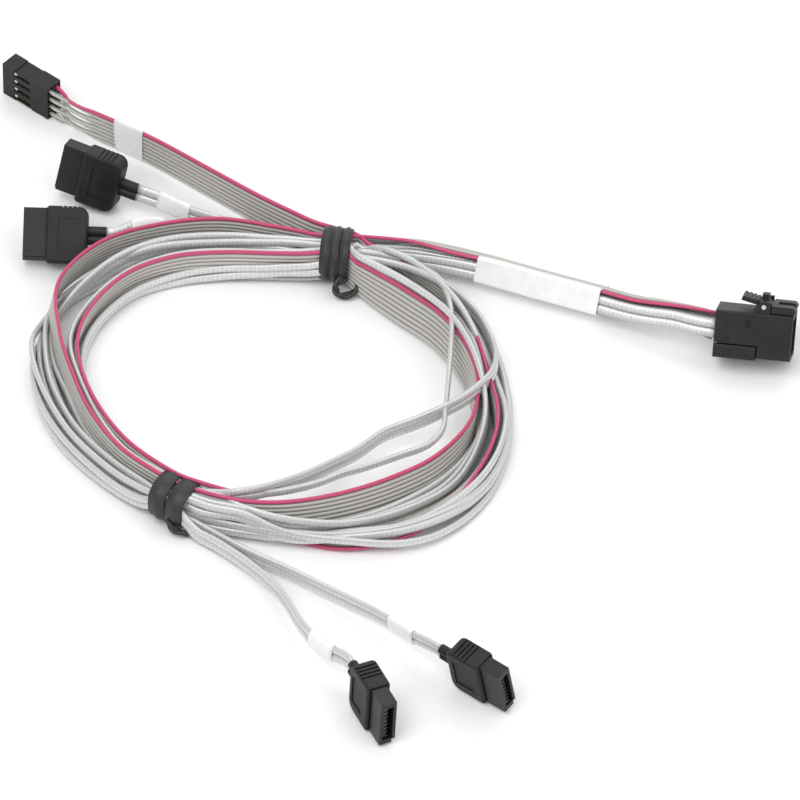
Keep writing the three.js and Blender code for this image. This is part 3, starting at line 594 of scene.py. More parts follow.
class Line:
    """A smooth line through points that carry further values along."""

    def __init__(self, points: Sequence[Sequence[float]], step: float) -> None:
        """Run a centripetal spline through the points, in even steps of length."""
        rows = np.array(points, float)
        keep = [0]
        for i in range(1, len(rows)):
            if np.linalg.norm(rows[i, :3] - rows[keep[-1], :3]) > SAME_SPOT:
                keep.append(i)
        rows = rows[keep]
        gaps = np.linalg.norm(np.diff(rows[:, :3], axis=0), axis=1) ** 0.5
        padded = np.vstack([2 * rows[0] - rows[1], rows, 2 * rows[-1] - rows[-2]])
        knots = np.concatenate([[-gaps[0]], [0.0], np.cumsum(gaps), [0.0]])
        knots[-1] = knots[-2] + gaps[-1]
        spans = [slice(i, i + 4) for i in range(len(rows) - 1)]
        dense = np.vstack([*(self._piece(padded[s], knots[s]) for s in spans), rows[-1:]])
        reach = reached(dense[:, :3])
        self.length = float(reach[-1])
        count = max(4, int(round(self.length / step)) + 1)
        self.reach = np.linspace(0.0, self.length, count)
        self.rows = np.stack([np.interp(self.reach, reach, row) for row in dense.T], axis=1)

    @staticmethod
    def _piece(points: np.ndarray, knots: np.ndarray, count: int = 12) -> np.ndarray:
        """Return points of one span, by the pyramid form of the spline."""
        t = np.linspace(knots[1], knots[2], count, endpoint=False)[:, None]

        def blend(a: np.ndarray, b: np.ndarray, low: float, high: float) -> np.ndarray:
            """Return the blend of two points from one knot to another."""
            return ((high - t) * a + (t - low) * b) / (high - low)

        first = [blend(points[i], points[i + 1], knots[i], knots[i + 1]) for i in range(3)]
        second = [blend(first[i], first[i + 1], knots[i], knots[i + 2]) for i in range(2)]
        return blend(second[0], second[1], knots[1], knots[2])

    @property
    def points(self) -> np.ndarray:
        """Return the points alone."""
        return self.rows[:, :3]

    def tangents(self) -> np.ndarray:
        """Return unit directions along the line."""
        return unit(np.gradient(self.points, axis=0))

    def at(self, share: float) -> np.ndarray:
        """Return the values at a share of the length."""
        place = share * (len(self.rows) - 1)
        low = min(int(place), len(self.rows) - 2)
        return self.rows[low] + (self.rows[low + 1] - self.rows[low]) * (place - low)


# ---------------------------------------------------------------- meshes


class Sweep:
    """Builds one mesh out of closed sections run along paths."""

    def __init__(self) -> None:
        """Start an empty mesh."""
        self.vertices: list[np.ndarray] = []
        self.faces: list[tuple[int, ...]] = []
        self.uvs: list[tuple[float, float]] = []
        self.count = 0

    def tube(
        self,
        rings: np.ndarray,
        reach: np.ndarray,
        across: Sequence[float],
        capped: bool = True,
    ) -> None:
        """Add a tube.

        Args:
            rings: Points as ring, corner, xyz.
            reach: Length at each ring, in metres, which becomes v.
            across: u at each corner, with one more for the closing corner.
            capped: Whether both ends are closed.
        """
        total, corners = rings.shape[:2]
        base = self.count
        self.vertices.append(rings.reshape(-1, 3))
        for i in range(total - 1):
            for j in range(corners):
                after = (j + 1) % corners
                low, high = base + i * corners, base + (i + 1) * corners
                self.faces.append((low + j, low + after, high + after, high + j))
                self.uvs += [
                    (across[j], reach[i]),
                    (across[j + 1], reach[i]),
                    (across[j + 1], reach[i + 1]),
                    (across[j], reach[i + 1]),
                ]
        if capped:
            first = tuple(base + j for j in reversed(range(corners)))
            last = tuple(base + (total - 1) * corners + j for j in range(corners))
            self.faces += [first, last]
            self.uvs += [(across[j], reach[0]) for j in reversed(range(corners))]
            self.uvs += [(across[j], reach[-1]) for j in range(corners)]
        self.count += total * corners

    def make(self, name: str) -> bpy.types.Object:
        """Return the mesh as an object of the scene."""
        mesh = bpy.data.meshes.new(name)
        mesh.from_pydata(np.vstack(self.vertices).tolist(), [], self.faces)
        layer = mesh.uv_layers.new(name="UVMap")
        layer.data.foreach_set("uv", np.array(self.uvs, "f").ravel())
        mesh.polygons.foreach_set("use_smooth", [True] * len(mesh.polygons))
        mesh.update()
        return add_object(name, mesh)


# ---------------------------------------------------------------- layout

TABLE = Table()
SIGHT = Sight(TABLE)


@dataclass(frozen=True)
class Coil:
    """The coil's middle line, and where a strand of it lies."""

    stations: tuple[tuple[float, float], ...] = (
        (-15.8, 45.3), (-20.3, 46.0), (-24.5, 46.2), (-32.0, 47.3), (-45.0, 48.4),
        (-58.0, 45.6), (-70.0, 38.6), (-79.5, 27.5), (-84.3, 14.0), (-84.6, 0.0),
        (-80.0, -15.0), (-70.8, -27.6), (-61.0, -36.8), (-55.5, -40.6), (-50.5, -43.4),
        (-46.5, -44.4), (-38.0, -46.0), (-28.0, -47.0), (-14.0, -46.8), (1.5, -42.4),
        (13.6, -31.8), (19.6, -16.0), (19.4, 2.0), (15.2, 20.0), (5.0, 33.4),
        (-4.5, 40.2), (-9.8, 42.6), (-12.4, 44.6),
    )  # fmt: skip

    def spot(self, station: float, out: float, height: float) -> np.ndarray:
        """Return a layout point.

        Args:
            station: Place along the winding; it goes on past a full turn.
            out: Distance outwards from the middle line, in mm.
            height: Height over the table, in mm.
        """
        count = len(self.stations)
        low = int(math.floor(station))
        share = station - low
        a, b, c, d = (np.array(self.stations[(low + k) % count]) for k in (-1, 0, 1, 2))
        middle = 0.5 * (
            2 * b
            + (c - a) * share
            + (2 * a - 5 * b + 4 * c - d) * share**2
            + (3 * b - a - 3 * c + d) * share**3
        )
        way = 0.5 * (
            (c - a)
            + 2 * (2 * a - 5 * b + 4 * c - d) * share
            + 3 * (3 * b - a - 3 * c + d) * share**2
        )
        way /= np.linalg.norm(way)
        return np.array([middle[0] + way[1] * out, middle[1] - way[0] * out, height])


COIL = Coil()
TURN = len(COIL.stations)


@dataclass(frozen=True)
class PlugPose:
    """How a plug lies on the table: its nose tip, its headings and its height."""

    spot: Triple
    heading: float
    lean: float = 0.0
    lift: float = 0.0

    def matrix(self) -> Matrix:
        """Return the pose in the row frame, in metres."""
        x, y, z = TABLE.place(self.spot)
        turn = Matrix.Rotation(math.radians(self.heading) + TABLE.turn, 4, "Z")
        lift = Matrix.Rotation(-math.radians(self.lift), 4, "Y")
        lean = Matrix.Rotation(math.radians(self.lean), 4, "X")
        return Matrix.Translation((x, y, z)) @ turn @ lift @ lean

    def point(self, x: float, y: float = 0.0, z: float = 0.0) -> np.ndarray:
        """Return a point of the plug, in mm of its own axes, in the row frame."""
        return np.array(self.matrix() @ Vector((x * MM, y * MM, z * MM)))

    def way(self, x: float, y: float, z: float) -> np.ndarray:
        """Return a direction of the plug in the row frame."""
        return np.array(self.matrix().to_3x3() @ Vector((x, y, z)))


DRIVES: dict[str, PlugPose] = {
    "a": PlugPose((-2.9, -118.5, 7.416), -65.5, -3.0),
    "b": PlugPose((26.0, -107.8, 8.079), -41.0, 10.0, 2.0),
    "c": PlugPose((-85.8, 75.6, 9.074), 157.2, 19.0, 6.0),
    "d": PlugPose((-95.1, 52.4, 7.064), 177.3, 45.0),
}
SIDEBAND = PlugPose((-100.1, 113.4, 5.15), 139.4)
STUB_END = -21.2
SIDEBAND_LENGTH = 15.3


@dataclass(frozen=True)
class MiniSas:
    """The rolled mini-SAS plug's own axes in the row frame."""

    origin: Triple = (-0.125, -0.5586, 8.4569)
    roll: float = math.radians(-34)
    rear: float = -9.75

    def point(self, x: float, y: float = 0.0, z: float = 0.0) -> np.ndarray:
        """Return a point of the plug, in mm of its own axes, in metres."""
        cos, sin = math.cos(self.roll), math.sin(self.roll)
        return MM * np.array(
            [
                self.origin[0] + x,
                self.origin[1] + cos * y - sin * z,
                self.origin[2] + sin * y + cos * z,
            ]
        )

    def up(self) -> np.ndarray:
        """Return the plug's own up."""
        return np.array([0.0, -math.sin(self.roll), math.cos(self.roll)])


PLUG = MiniSas()


@dataclass(frozen=True)
class Lead:
    """The stretch from the mini-SAS plug to the first tie."""

    route: tuple[Triple, ...] = (
        (70.5, 20.9, 7.8), (60.0, 25.0, 6.0), (48.5, 30.6, 4.9), (33.0, 36.5, 4.95),
        (18.0, 42.6, 4.9), (8.0, 45.6, 5.2), (-1.0, 47.2, 5.6),
    )  # fmt: skip
    wide: float = 2.3
    thick: float = 1.33
    step: float = 0.0015
    untwist: tuple[float, float] = (0.62, 0.38)

    def line(self) -> Line:
        """Return the lead's middle line in the row frame."""
        start = [PLUG.point(PLUG.rear + 0.7), PLUG.point(PLUG.rear - 2.0)]
        return Line([*start, *[TABLE.place(p) for p in self.route]], self.step)

    def frames(self) -> tuple[Line, np.ndarray, np.ndarray]:
        """Return the line with each point's side and up directions."""
        line = self.line()
        turn = smoothstep(np.linspace(0.0, 1.0, len(line.rows)), *self.untwist)
        up = unit(PLUG.up() * (1 - turn) + SKY * turn)
        ahead = line.tangents()
        side = unit(np.cross(up, ahead))
        return line, side, unit(np.cross(ahead, side))


TAIL_ROUTES: dict[str, tuple[Triple, ...]] = {
    "a": ((-50.0, -49.8, 2.9), (-44.0, -54.4, 2.9), (-36.5, -61.5, 2.9),
          (-29.5, -70.4, 3.2), (-24.2, -82.8, 4.6), (-19.4, -91.2, 6.0)),
    "b": ((-46.2, -50.2, 2.9), (-38.0, -56.4, 2.9), (-28.0, -62.6, 2.9),
          (-15.0, -71.6, 3.2), (-4.2, -80.2, 4.6), (3.4, -88.2, 6.2)),
    "c": ((-24.5, 54.4, 3.0), (-33.0, 56.6, 2.9), (-45.0, 60.2, 3.2),
          (-55.0, 62.9, 4.8), (-60.9, 65.2, 6.4)),
    "d": ((-25.5, 52.7, 3.0), (-34.0, 54.8, 2.9), (-44.0, 56.6, 3.0),
          (-56.0, 57.4, 4.2), (-66.0, 55.0, 6.6)),
}  # fmt: skip
RIBBON_TAIL: tuple[Triple, ...] = (
    (-21.8, 52.6, 6.0), (-27.0, 56.2, 5.9), (-35.5, 62.4, 5.7), (-47.5, 71.8, 5.7),
    (-61.3, 82.6, 5.8), (-69.0, 88.0, 5.8), (-77.0, 93.2, 5.5), (-83.6, 98.0, 5.3),
)  # fmt: skip

# Heights in mm of four cords stacked in the open coil, and inside the ties
ROW = (1.35, 3.7, 6.05, 8.4)
TIE_ROW = (2.6, 4.95, 7.3, 9.65)


def first_turn(index: int) -> list[Triple]:
    """Return a cord's keys (station, outwards, height) on its turn from the first tie.

    Args:
        index: The cord's number from 0.
    """
    column, row = divmod(index, 4)
    pair, level = divmod(index, 2)
    cross = 6.2 + 0.2 * index
    fan = (1.9, 3.7, 5.4, 7.2)[pair]
    wide = (-1.0, 1.2, 3.6, 6.2)[pair]
    keys = [
        (0.0, -0.55 + 1.4 * column, TIE_ROW[row]),
        (1.2, -0.2 + 1.4 * column, TIE_ROW[row] - 0.3),
        (2.4, 0.2 + 1.5 * column, ROW[row] + 0.4),
        (4.0, 0.0 + 1.8 * column, ROW[row]),
        (cross - 0.9, 3.4 + 1.2 * column, 1.0 + 0.7 * ROW[row]),
        (cross, 7.4, 0.95),
        (8.3, fan, ROW[level] + 0.1),
        (9.0, wide, ROW[level]),
        (10.0, 0.88 * wide - 0.7, ROW[level] + 0.2),
        (11.0, 0.7 * wide, ROW[level] + 0.6),
        (12.0, 0.6 * wide + 0.2, ROW[level] + (1.2, 1.2, 2.6, 1.6)[pair]),
        (13.0, 0.5 + 1.4 * column, TIE_ROW[row]),
        (14.0, 0.2 + 1.4 * column, TIE_ROW[row] - 0.2),
        (15.0, 1.0 + 1.4 * column, ROW[row] + 0.9),
        (16.0, 1.7 + 1.4 * column, ROW[row] + 0.9),
        (17.0, 1.1 + 2.4 * column + 0.5 * pair, 1.35 + 2.35 * level + 2.0 * column),
    ]
    if column == 0:
        flat = 1.4 * pair
        keys += [
            (18.0, -1.0 + flat, ROW[level]),
            (19.0, -3.2 + flat, ROW[level]),
            (20.0, -2.2 + flat, ROW[level]),
            (21.0, 0.2 + 0.7 * flat, ROW[row] * 0.6 + ROW[level] * 0.4),
            (22.0, 0.9, ROW[row]),
            (23.0, -1.0, ROW[row]),
            (24.0, -2.7, ROW[row]),
            (25.0, -2.9, ROW[row] + 0.3),
            (26.0, -2.2, ROW[row] + 0.7),
            (27.0, -2.2, ROW[row] + 1.1),
        ]
    else:
        keys += [
            (18.0, 2.6 + 1.3 * row, 3.4 + 0.3 * row),
            (19.0, 5.2 + 1.4 * row, (4.6, 5.0, 5.2, 2.4)[row]),
            (20.0, 7.5 + 0.5 * row, (8.3, 6.0, 3.7, 1.35)[row]),
            (21.0, 6.4 + 0.5 * row, (8.2, 5.9, 3.6, 1.35)[row]),
            (22.0, 3.9 + 1.2 * row, (6.0, 3.7, 3.7, 1.35)[row]),
            (23.0, 3.1 + 1.2 * row - (2.2 if row == 0 else 0), (11.9, 3.7, 3.7, 1.35)[row]),
            (24.0, 3.3 + 0.8 * row - (2.0 if row == 0 else 0), (12.1, 4.7, 3.7, 1.35)[row]),
            (25.0, 3.4 + 0.5 * row - (2.2 if row == 0 else 0), (12.0, 6.05, 3.7, 1.35)[row]),
            (26.0, 2.6 + 0.3 * row, ROW[3 - row] + 0.5),
            (27.0, 0.8, TIE_ROW[3 - row]),
        ]
    return keys


def second_turn(index: int) -> list[Triple]:
    """Return a twinax cord's keys from the first tie to where its pair leaves the coil.

    Args:
        index: The cord's number from 0; 4 to 7 leave at the second tie.
    """
    row = index % 4
    if index < 4:
        keys = [
            (0.0, -2.1, TIE_ROW[row]),
            (1.2, -2.5, TIE_ROW[row] - 0.2),
            (2.4, -3.0, ROW[row] + 0.4),
            (4.0, -3.9, ROW[row]),
            (5.0, -2.8, ROW[row]),
            (6.0, -1.9, ROW[row]),
            (7.0, -2.2, ROW[row]),
            (8.0, -2.1, ROW[row]),
            (9.0, -4.0, ROW[row]),
            (10.0, -4.6, ROW[row]),
            (11.0, -3.2, ROW[row] + 0.5),
            (12.0, -2.8, ROW[row] + 1.0),
            (13.0, -2.1, TIE_ROW[row]),
        ]
    elif index < 6:
        keys = [
            (0.0, -4.8, TIE_ROW[row + 1]),
            (1.2, -1.2, TIE_ROW[row + 1] + 0.4),
            (2.4, -1.3, ROW[row + 1] + 0.5),
            (4.0, -1.6, ROW[row]),
            (5.0, 1.8 + 0.8 * row, 2.6 + row),
            (6.2 + 0.3 * row, 7.3, 2.4),
            (7.2 + 0.3 * row, 7.4, 3.2),
            (8.0, 4.4 + 3.0 * row, 6.0),
            (9.0, 2.3 + 2.9 * row, 6.05),
            (10.0, 0.9 + 2.6 * row, 6.1),
            (11.0, 0.8 + 1.8 * row, 6.5),
            (12.0, 1.2 + 1.4 * row, 7.2),
            (13.0, 3.3, TIE_ROW[2 + row]),
        ]
    else:
        level = index - 6
        keys = [
            (0.0, -4.8, 5.4 + 2.35 * level),
            (1.2, -5.5, 5.2 + 2.35 * level),
            (2.4, -5.6, 4.2 + 2.35 * level),
            (4.0, -6.4, 2.0 + 2.35 * level),
            (5.0, -5.4, ROW[level]),
            (6.0, -4.5, ROW[level]),
            (7.0, -4.8, ROW[level]),
            (8.0, -4.9, ROW[level]),
            (9.0, -6.3, ROW[level]),
            (10.0, -6.9, ROW[level]),
            (11.0, -5.6, ROW[level]),
            (12.0, -4.4, 1.6 + 2.3 * level),
            (13.0, 3.3, TIE_ROW[level]),
        ]
    return [(TURN + s, u, z) for s, u, z in keys]


# Where the loose strands of the last half turn are seen: frame x, frame y, height in mm
SWINGING: tuple[Triple, ...] = (
    (242, 490, 11.8), (262, 487, 11.4), (300, 476, 8.6), (330, 463, 6.4), (358, 449, 5.4),
    (383, 432, 6.2), (417, 419, 8.6), (450, 404, 11.4), (467, 394, 12.0), (480, 384, 12.1),
    (490, 374, 11.4), (495.5, 360, 9.6), (494.5, 347, 8.2), (488, 330, 7.2),
    (477, 312, 6.8), (460, 295, 6.9), (443, 282, 7.4), (433, 273, 7.8), (417, 266, 8.6),
    (400, 260, 9.4), (383, 254.5, 9.9), (358, 251, 10.2),
)  # fmt: skip
UPRIGHT: tuple[Triple, ...] = (
    (238, 492, 9.4), (255, 493, 9.2), (286, 490, 8.6), (320, 482, 8.2), (343, 473, 8.2),
    (365, 467, 8.6), (400, 455, 8.8), (425, 446, 10.8), (437, 437, 11.8), (443, 428, 11.6),
    (445, 411, 10.4), (448, 383, 8.8), (451, 350, 9.4), (452, 325, 10.8), (451, 308, 11.6),
    (447, 293, 12.0), (441, 283, 12.2), (425, 274, 11.6), (405, 266, 11.0), (380, 260, 10.4),
    (358, 256, 10.0),
)  # fmt: skip


def last_half_turn(index: int) -> list[np.ndarray]:
    """Return layout points of cords 0 to 3 from the second tie back to the first.

    Args:
        index: 0 and 1 swing over the coil side by side, 2 stands alone, 3 lies in the bundle.
    """
    if index in (0, 1):
        drop = 2.35 * index
        return [np.array(SIGHT.spot(x, y + 2.83 * drop, z - drop)) for x, y, z in SWINGING]
    if index == 2:
        return [np.array(SIGHT.spot(*point)) for point in UPRIGHT]
    keys = (
        (14.0, -2.2, 9.4), (15.0, -1.9, 9.6), (16.0, 1.4, 9.6), (17.0, 3.0, 8.4),
        (18.0, 1.8, 5.6), (19.0, -0.4, 3.7), (20.0, 0.8, 4.2), (21.0, 1.4, 8.6),
        (22.0, 0.0, 11.4), (23.0, -3.0, 11.7), (24.0, -4.6, 11.7), (25.0, -4.4, 12.0),
        (26.0, -3.2, 12.1), (27.0, -1.0, 11.2),
    )  # fmt: skip
    return [COIL.spot(*key) for key in keys]


TAIL_OF = ("c", "c", "d", "d", "a", "a", "b", "b")
SECOND_TIE = 13.0
FIRST_SEED = 100


@dataclass
class Twinax:
    """One flat twinax cord from the mini-SAS plug to its drive plug."""

    index: int
    wardrobe: Wardrobe
    wide: float = 2.3 * MM
    thick: float = 1.35 * MM
    step: float = 0.0022
    sides: int = 12
    wander: tuple[float, float] = (0.28, 0.14)
    squareness: tuple[float, float] = (0.8, 0.9)
    pair_pitch: float = 2.37 * MM
    coil_step: float = 0.34
    tail_step: float = 0.003
    tail_turn: tuple[float, float] = (0.45, 0.5)
    line: Line = field(init=False)

    @property
    def tail(self) -> str:
        """Return the letter of the drive plug at its end."""
        return TAIL_OF[self.index]

    @property
    def level(self) -> int:
        """Return 0 for the lower cord of a pair and 1 for the upper."""
        return self.index % 2

    def coil_points(self) -> list[np.ndarray]:
        """Return the coiled stretch in layout millimetres."""
        rng = random.Random(FIRST_SEED + self.index)
        waves = [(rng.uniform(0.6, 1.9), rng.uniform(0, 6.28)) for _ in range(4)]
        keys = first_turn(self.index) + second_turn(self.index)
        steps = np.arange(0.0, keys[-1][0] + 0.01, self.coil_step)
        table = np.array(keys)
        out, height = (self._eased(table[:, 0], table[:, k], steps) for k in (1, 2))
        points = []
        for s, u, z in zip(steps, out, height):
            place = s % TURN
            calm = min(1.0, abs(place - SECOND_TIE) / 2, place / 2, (TURN - place) / 2)
            u += calm * self.wander[0] * sum(math.sin(f * s + p) for f, p in waves[:2])
            z += calm * self.wander[1] * sum(math.sin(f * s + p) for f, p in waves[2:])
            points.append(COIL.spot(s, u, max(z, 0.5 * self.thick / MM)))
        if self.index < 4:
            points += last_half_turn(self.index)
            points.append(COIL.spot(2.0 * TURN, 3.1, TIE_ROW[self.index]))
        return points

    @staticmethod
    def _eased(places: np.ndarray, values: np.ndarray, steps: np.ndarray) -> np.ndarray:
        """Return values eased between their keys without overshoot."""
        out = np.empty_like(steps)
        slopes = np.gradient(values, places)
        for k, s in enumerate(steps):
            i = int(np.clip(np.searchsorted(places, s, "right") - 1, 0, len(places) - 2))
            span = places[i + 1] - places[i]
            t = (s - places[i]) / span
            out[k] = (
                (2 * t**3 - 3 * t**2 + 1) * values[i]
                + (t**3 - 2 * t**2 + t) * span * slopes[i]
                + (3 * t**2 - 2 * t**3) * values[i + 1]
                + (t**3 - t**2) * span * slopes[i + 1]
            )
        return out

    def route(self) -> Line:
        """Return the whole route in the row frame, with each point's up direction."""
        lead = Lead()
        line, side, up = lead.frames()
        column, row = divmod(self.index, 2)
        across = (column - 1.5) * lead.thick * MM
        above = (row - 0.5) * lead.wide * MM
        rows = [
            [*(line.points[i] + across * side[i] + above * up[i]), *up[i]]
            for i in range(0, len(line.rows), 4)
        ]
        rows += [[*TABLE.place(p), *SKY] for p in self.coil_points()]
        rows += self.tail_rows()
        return Line(rows, self.step)

    def tail_rows(self) -> list[list[float]]:
        """Return the last stretch, from the coil into the drive plug's stub."""
        pose = DRIVES[self.tail]
        ends = [pose.point(STUB_END - 2), pose.point(STUB_END + 0.6)]
        route = [TABLE.place(p) for p in TAIL_ROUTES[self.tail]]
        line = Line([*route, *ends], self.tail_step)
        turn = smoothstep(np.linspace(0.0, 1.0, len(line.rows)), *self.tail_turn)
        up = unit(SKY * (1 - turn) + pose.way(0, 0, 1) * turn)
        up = square_to(line.tangents(), up)
        offset = (self.level - 0.5) * self.pair_pitch
        return [[*(p + offset * u), *u] for p, u in zip(line.points, up)]

    def build(self) -> bpy.types.Object:
        """Return the cord's mesh, with u once round it and v its length."""
        self.line = self.route()
        points, ahead = self.line.points, self.line.tangents()
        up = unit(self.line.rows[:, 3:6])
        side = unit(np.cross(up, ahead))
        up = np.cross(ahead, side)
        corners = []
        for turn in angles(self.sides, 0.5):
            x = signed_power(math.cos(turn), self.squareness[0]) * self.thick / 2
            y = signed_power(math.sin(turn), self.squareness[1]) * self.wide / 2
            corners.append(points + x * side + y * up)
        sweep = Sweep()
        sweep.tube(np.stack(corners, axis=1), self.line.reach, shares(self.sides))
        piece = sweep.make(f"twinax_cord_{self.index + 1}")
        self.wardrobe.dress(piece, Slot.TWINAX)
        stub = "upper" if self.level else "lower"
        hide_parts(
            f"lead_twinax_{self.index + 1}",
            f"tail_twinax_drive_{self.tail}_{stub}",
        )
        return piece

    def declare(self, piece: bpy.types.Object) -> None:
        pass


@dataclass
class Ribbon:
    """The eight-way ribbon from the mini-SAS plug to the crimp housing."""

    wardrobe: Wardrobe
    ways: int = 8
    pitch: float = 1.27 * MM
    core: float = 0.46 * MM
    web: float = 0.2 * MM
    step: float = 0.0025
    split: float = 0.017
    sides: int = 8
    spread: float = 1.25
    shade_reach: float = 0.96
    fan_out: float = 0.9 * MM
    line: Line = field(init=False)

    # Station, distance outwards of the pink edge, that edge's height, lean outwards in degrees
    first: tuple[tuple[float, float, float, float], ...] = (
        (0.0, 2.0, 11.9, -8.0), (1.0, 1.6, 11.7, -8.0), (2.0, 3.1, 11.2, -6.0),
        (3.0, 4.6, 10.7, -4.0), (4.0, 6.4, 10.6, -4.0), (5.0, 6.9, 11.4, -6.0),
        (6.0, 8.2, 12.2, -8.0), (7.0, 7.0, 12.0, -12.0), (8.0, 0.8, 11.0, -13.0),
        (9.0, -2.9, 10.6, -12.0), (10.0, -3.4, 10.6, -10.0), (11.0, -1.9, 10.7, -6.0),
        (12.0, -1.66, 10.9, -2.0), (13.0, -1.0, 11.3, 0.0), (14.0, -1.4, 11.3, 0.0),
        (15.0, -0.7, 11.4, 0.0), (16.0, 0.1, 11.5, -2.0), (17.0, -0.9, 11.3, -6.0),
        (18.0, -4.3, 10.8, -10.0), (19.0, -6.7, 10.5, -12.0), (20.0, -5.2, 10.5, -10.0),
        (21.0, -1.6, 10.6, 0.0), (22.0, -0.4, 10.4, 12.0), (23.0, -3.1, 10.1, 22.0),
        (24.0, -4.8, 9.9, 24.0), (25.0, -4.4, 10.3, 14.0), (26.0, -3.6, 10.9, 4.0),
        (27.0, -3.6, 11.8, 0.0),
    )  # fmt: skip
    second: tuple[tuple[float, float, float, float], ...] = (
        (0.0, -3.6, 11.9, 0.0), (1.0, -4.4, 11.5, 0.0), (2.0, -4.3, 10.9, 0.0),
        (3.0, -4.9, 10.6, 0.0), (4.0, -5.5, 10.5, 0.0), (5.0, -4.4, 10.5, -2.0),
        (6.0, -3.4, 10.5, -5.0), (7.0, -3.8, 10.5, -8.0), (8.0, -3.9, 10.5, -9.0),
        (9.0, -5.4, 10.5, -9.0), (10.0, -6.0, 10.5, -8.0), (11.0, -4.7, 10.6, -5.0),
        (12.0, -4.3, 10.8, -2.0), (13.0, -3.8, 11.2, 0.0), (14.0, -4.2, 11.2, 0.0),
        (15.0, -3.9, 10.8, 0.0), (16.0, -2.6, 7.6, 45.0), (16.6, 0.2, 2.2, 82.0),
        (17.4, 4.2, 0.7, 90.0), (18.2, 7.4, 1.3, 86.0), (19.0, 8.0, 3.8, 71.0),
        (20.0, 6.2, 8.9, 32.0), (21.0, 4.9, 10.5, 6.0), (22.0, 2.1, 10.5, 0.0),
        (23.0, 1.6, 10.5, 0.0), (24.0, 1.9, 10.6, 0.0), (25.0, 2.6, 10.8, 0.0),
        (26.0, 3.2, 11.2, 0.0), (27.0, 3.8, 11.7, 0.0), (28.0, 4.4, 11.9, 0.0),
    )  # fmt: skip

    @property
    def half(self) -> float:
        """Return half the width between the edges, in mm."""
        return self.ways * self.pitch / MM / 2

    def coil_rows(self) -> list[list[float]]:
        """Return the coiled stretch: middle point, width direction and curl."""
        rows = []
        keys = [*self.first, *[(TURN + s, u, z, lean) for s, u, z, lean in self.second]]
        for s, u, z, lean in keys:
            angle = math.radians(lean)
            outwards = COIL.spot(s, 1.0, 0.0) - COIL.spot(s, 0.0, 0.0)
            wide = math.sin(angle) * outwards + math.cos(angle) * SKY
            middle = COIL.spot(s, u, z) - self.half * wide
            x, y = TABLE.along(wide[:2])
            rows.append([*TABLE.place(middle), x, y, wide[2], 0.0])
        return rows

    def lead_rows(self) -> list[list[float]]:
        """Return the lead's stretch, curled over the top and far side of the twinax."""
        line, side, up = Lead().frames()
        rows = []
        for i in range(0, len(line.rows), 5):
            share = i / (len(line.rows) - 1)
            loose = max(0.0, (share - 0.7) / 0.3) ** 2
            entry = max(0.0, 1.0 - share / 0.22) ** 1.5
            angle = math.radians(38 + 30 * loose + 46 * entry)
            away = -math.sin(angle) * side[i] + math.cos(angle) * up[i]
            wide = math.cos(angle) * side[i] + math.sin(angle) * up[i]
            middle = line.points[i] + away * (3.75 - 0.4 * loose) * MM
            rows.append([*middle, *wide, 2.3 * (1 - 0.7 * loose)])
        return rows

    def tail_rows(self) -> list[list[float]]:
        """Return the stretch from the first tie to the crimp housing."""
        rows = []
        for i, spot in enumerate(RIBBON_TAIL):
            lean = math.radians(8 * max(0.0, 1 - i / 5))
            wide = np.array([0.6 * math.sin(lean), 0.8 * math.sin(lean), math.cos(lean)])
            x, y = TABLE.along(wide[:2])
            rows.append([*TABLE.place(spot), x, y, wide[2], 0.0])
        rows.append([*SIDEBAND.point(-SIDEBAND_LENGTH + 0.8), 0.0, 0.0, 1.0, 0.0])
        return rows

    def conductors(self) -> np.ndarray:
        """Return each conductor's line as way, ring, xyz."""
        points, ahead = self.line.points, self.line.tangents()
        wide = square_to(ahead, self.line.rows[:, 3:6])
        inward = np.cross(wide, ahead)
        curl = np.maximum(self.line.rows[:, 6], 1e-3)[:, None]
        radius = self.pitch * (self.ways - 1) / curl
        left = self.line.length - self.line.reach
        free = smoothstep(1 - left / self.split)
        lines = []
        for k in range(self.ways):
            angle = curl * ((self.ways - 1) / 2 - k) / (self.ways - 1)
            flat = wide * radius * np.sin(angle) + inward * radius * (1 - np.cos(angle))
            rank, file = divmod(k, 2)
            seat = (wide * (1.5 - rank) + inward * (file - 0.5)) * PIN_PITCH * MM
            bulge = self.fan_out * np.sin(math.pi * free) * (-1) ** k
            lines.append(points + flat * (1 - free) + seat * free + inward * bulge)
        return np.stack(lines)

    def build(self) -> bpy.types.Object:
        """Return the ribbon's mesh, u counting the conductors from the pink edge."""
        self.line = Line([*self.lead_rows(), *self.coil_rows(), *self.tail_rows()], self.step)
        lines = self.conductors()
        ahead = self.line.tangents()
        sweep = Sweep()
        reach = self.line.reach
        joined = int(np.searchsorted(reach, self.line.length - self.split))
        for k in range(self.ways):
            before, after = max(k - 1, 0), min(k + 1, self.ways - 1)
            across = square_to(ahead, unit(lines[before] - lines[after]))
            normal = np.cross(across, ahead)
            turns = angles(self.sides)
            rings = [
                lines[k]
                + self.core * (self.spread * math.cos(turn) * across + math.sin(turn) * normal)
                for turn in turns
            ]
            # u runs across each conductor, so the jacket's painted groove shade falls on the
            # sides where neighbours meet
            shades = [
                k + 0.5 - 0.5 * math.cos(turn) * self.shade_reach
                for turn in (*turns, 2 * math.pi)
            ]
            sweep.tube(np.stack(rings, axis=1), reach, shades)
            if k < self.ways - 1:
                upper, lower = lines[k][:joined], lines[k + 1][:joined]
                thick = normal[:joined] * self.web / 2
                edges = (upper + thick, lower + thick, lower - thick, upper - thick)
                web = np.stack(edges, 1)
                # The web sits at u next to a whole number, so it takes the painted groove shade
                u = k + 0.99 if k else 1.02
                sweep.tube(web, reach[:joined], [u] * 5)
        piece = sweep.make("ribbon_cord")
        self.wardrobe.dress(piece, Slot.RIBBON)
        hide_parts("lead_ribbon", "tail_ribbon", "coil_bundle")
        return piece

    def declare(self, piece: bpy.types.Object) -> None:
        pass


@dataclass(frozen=True)
class Wrap:
    """A blank film wrap drawn tight round a cord."""

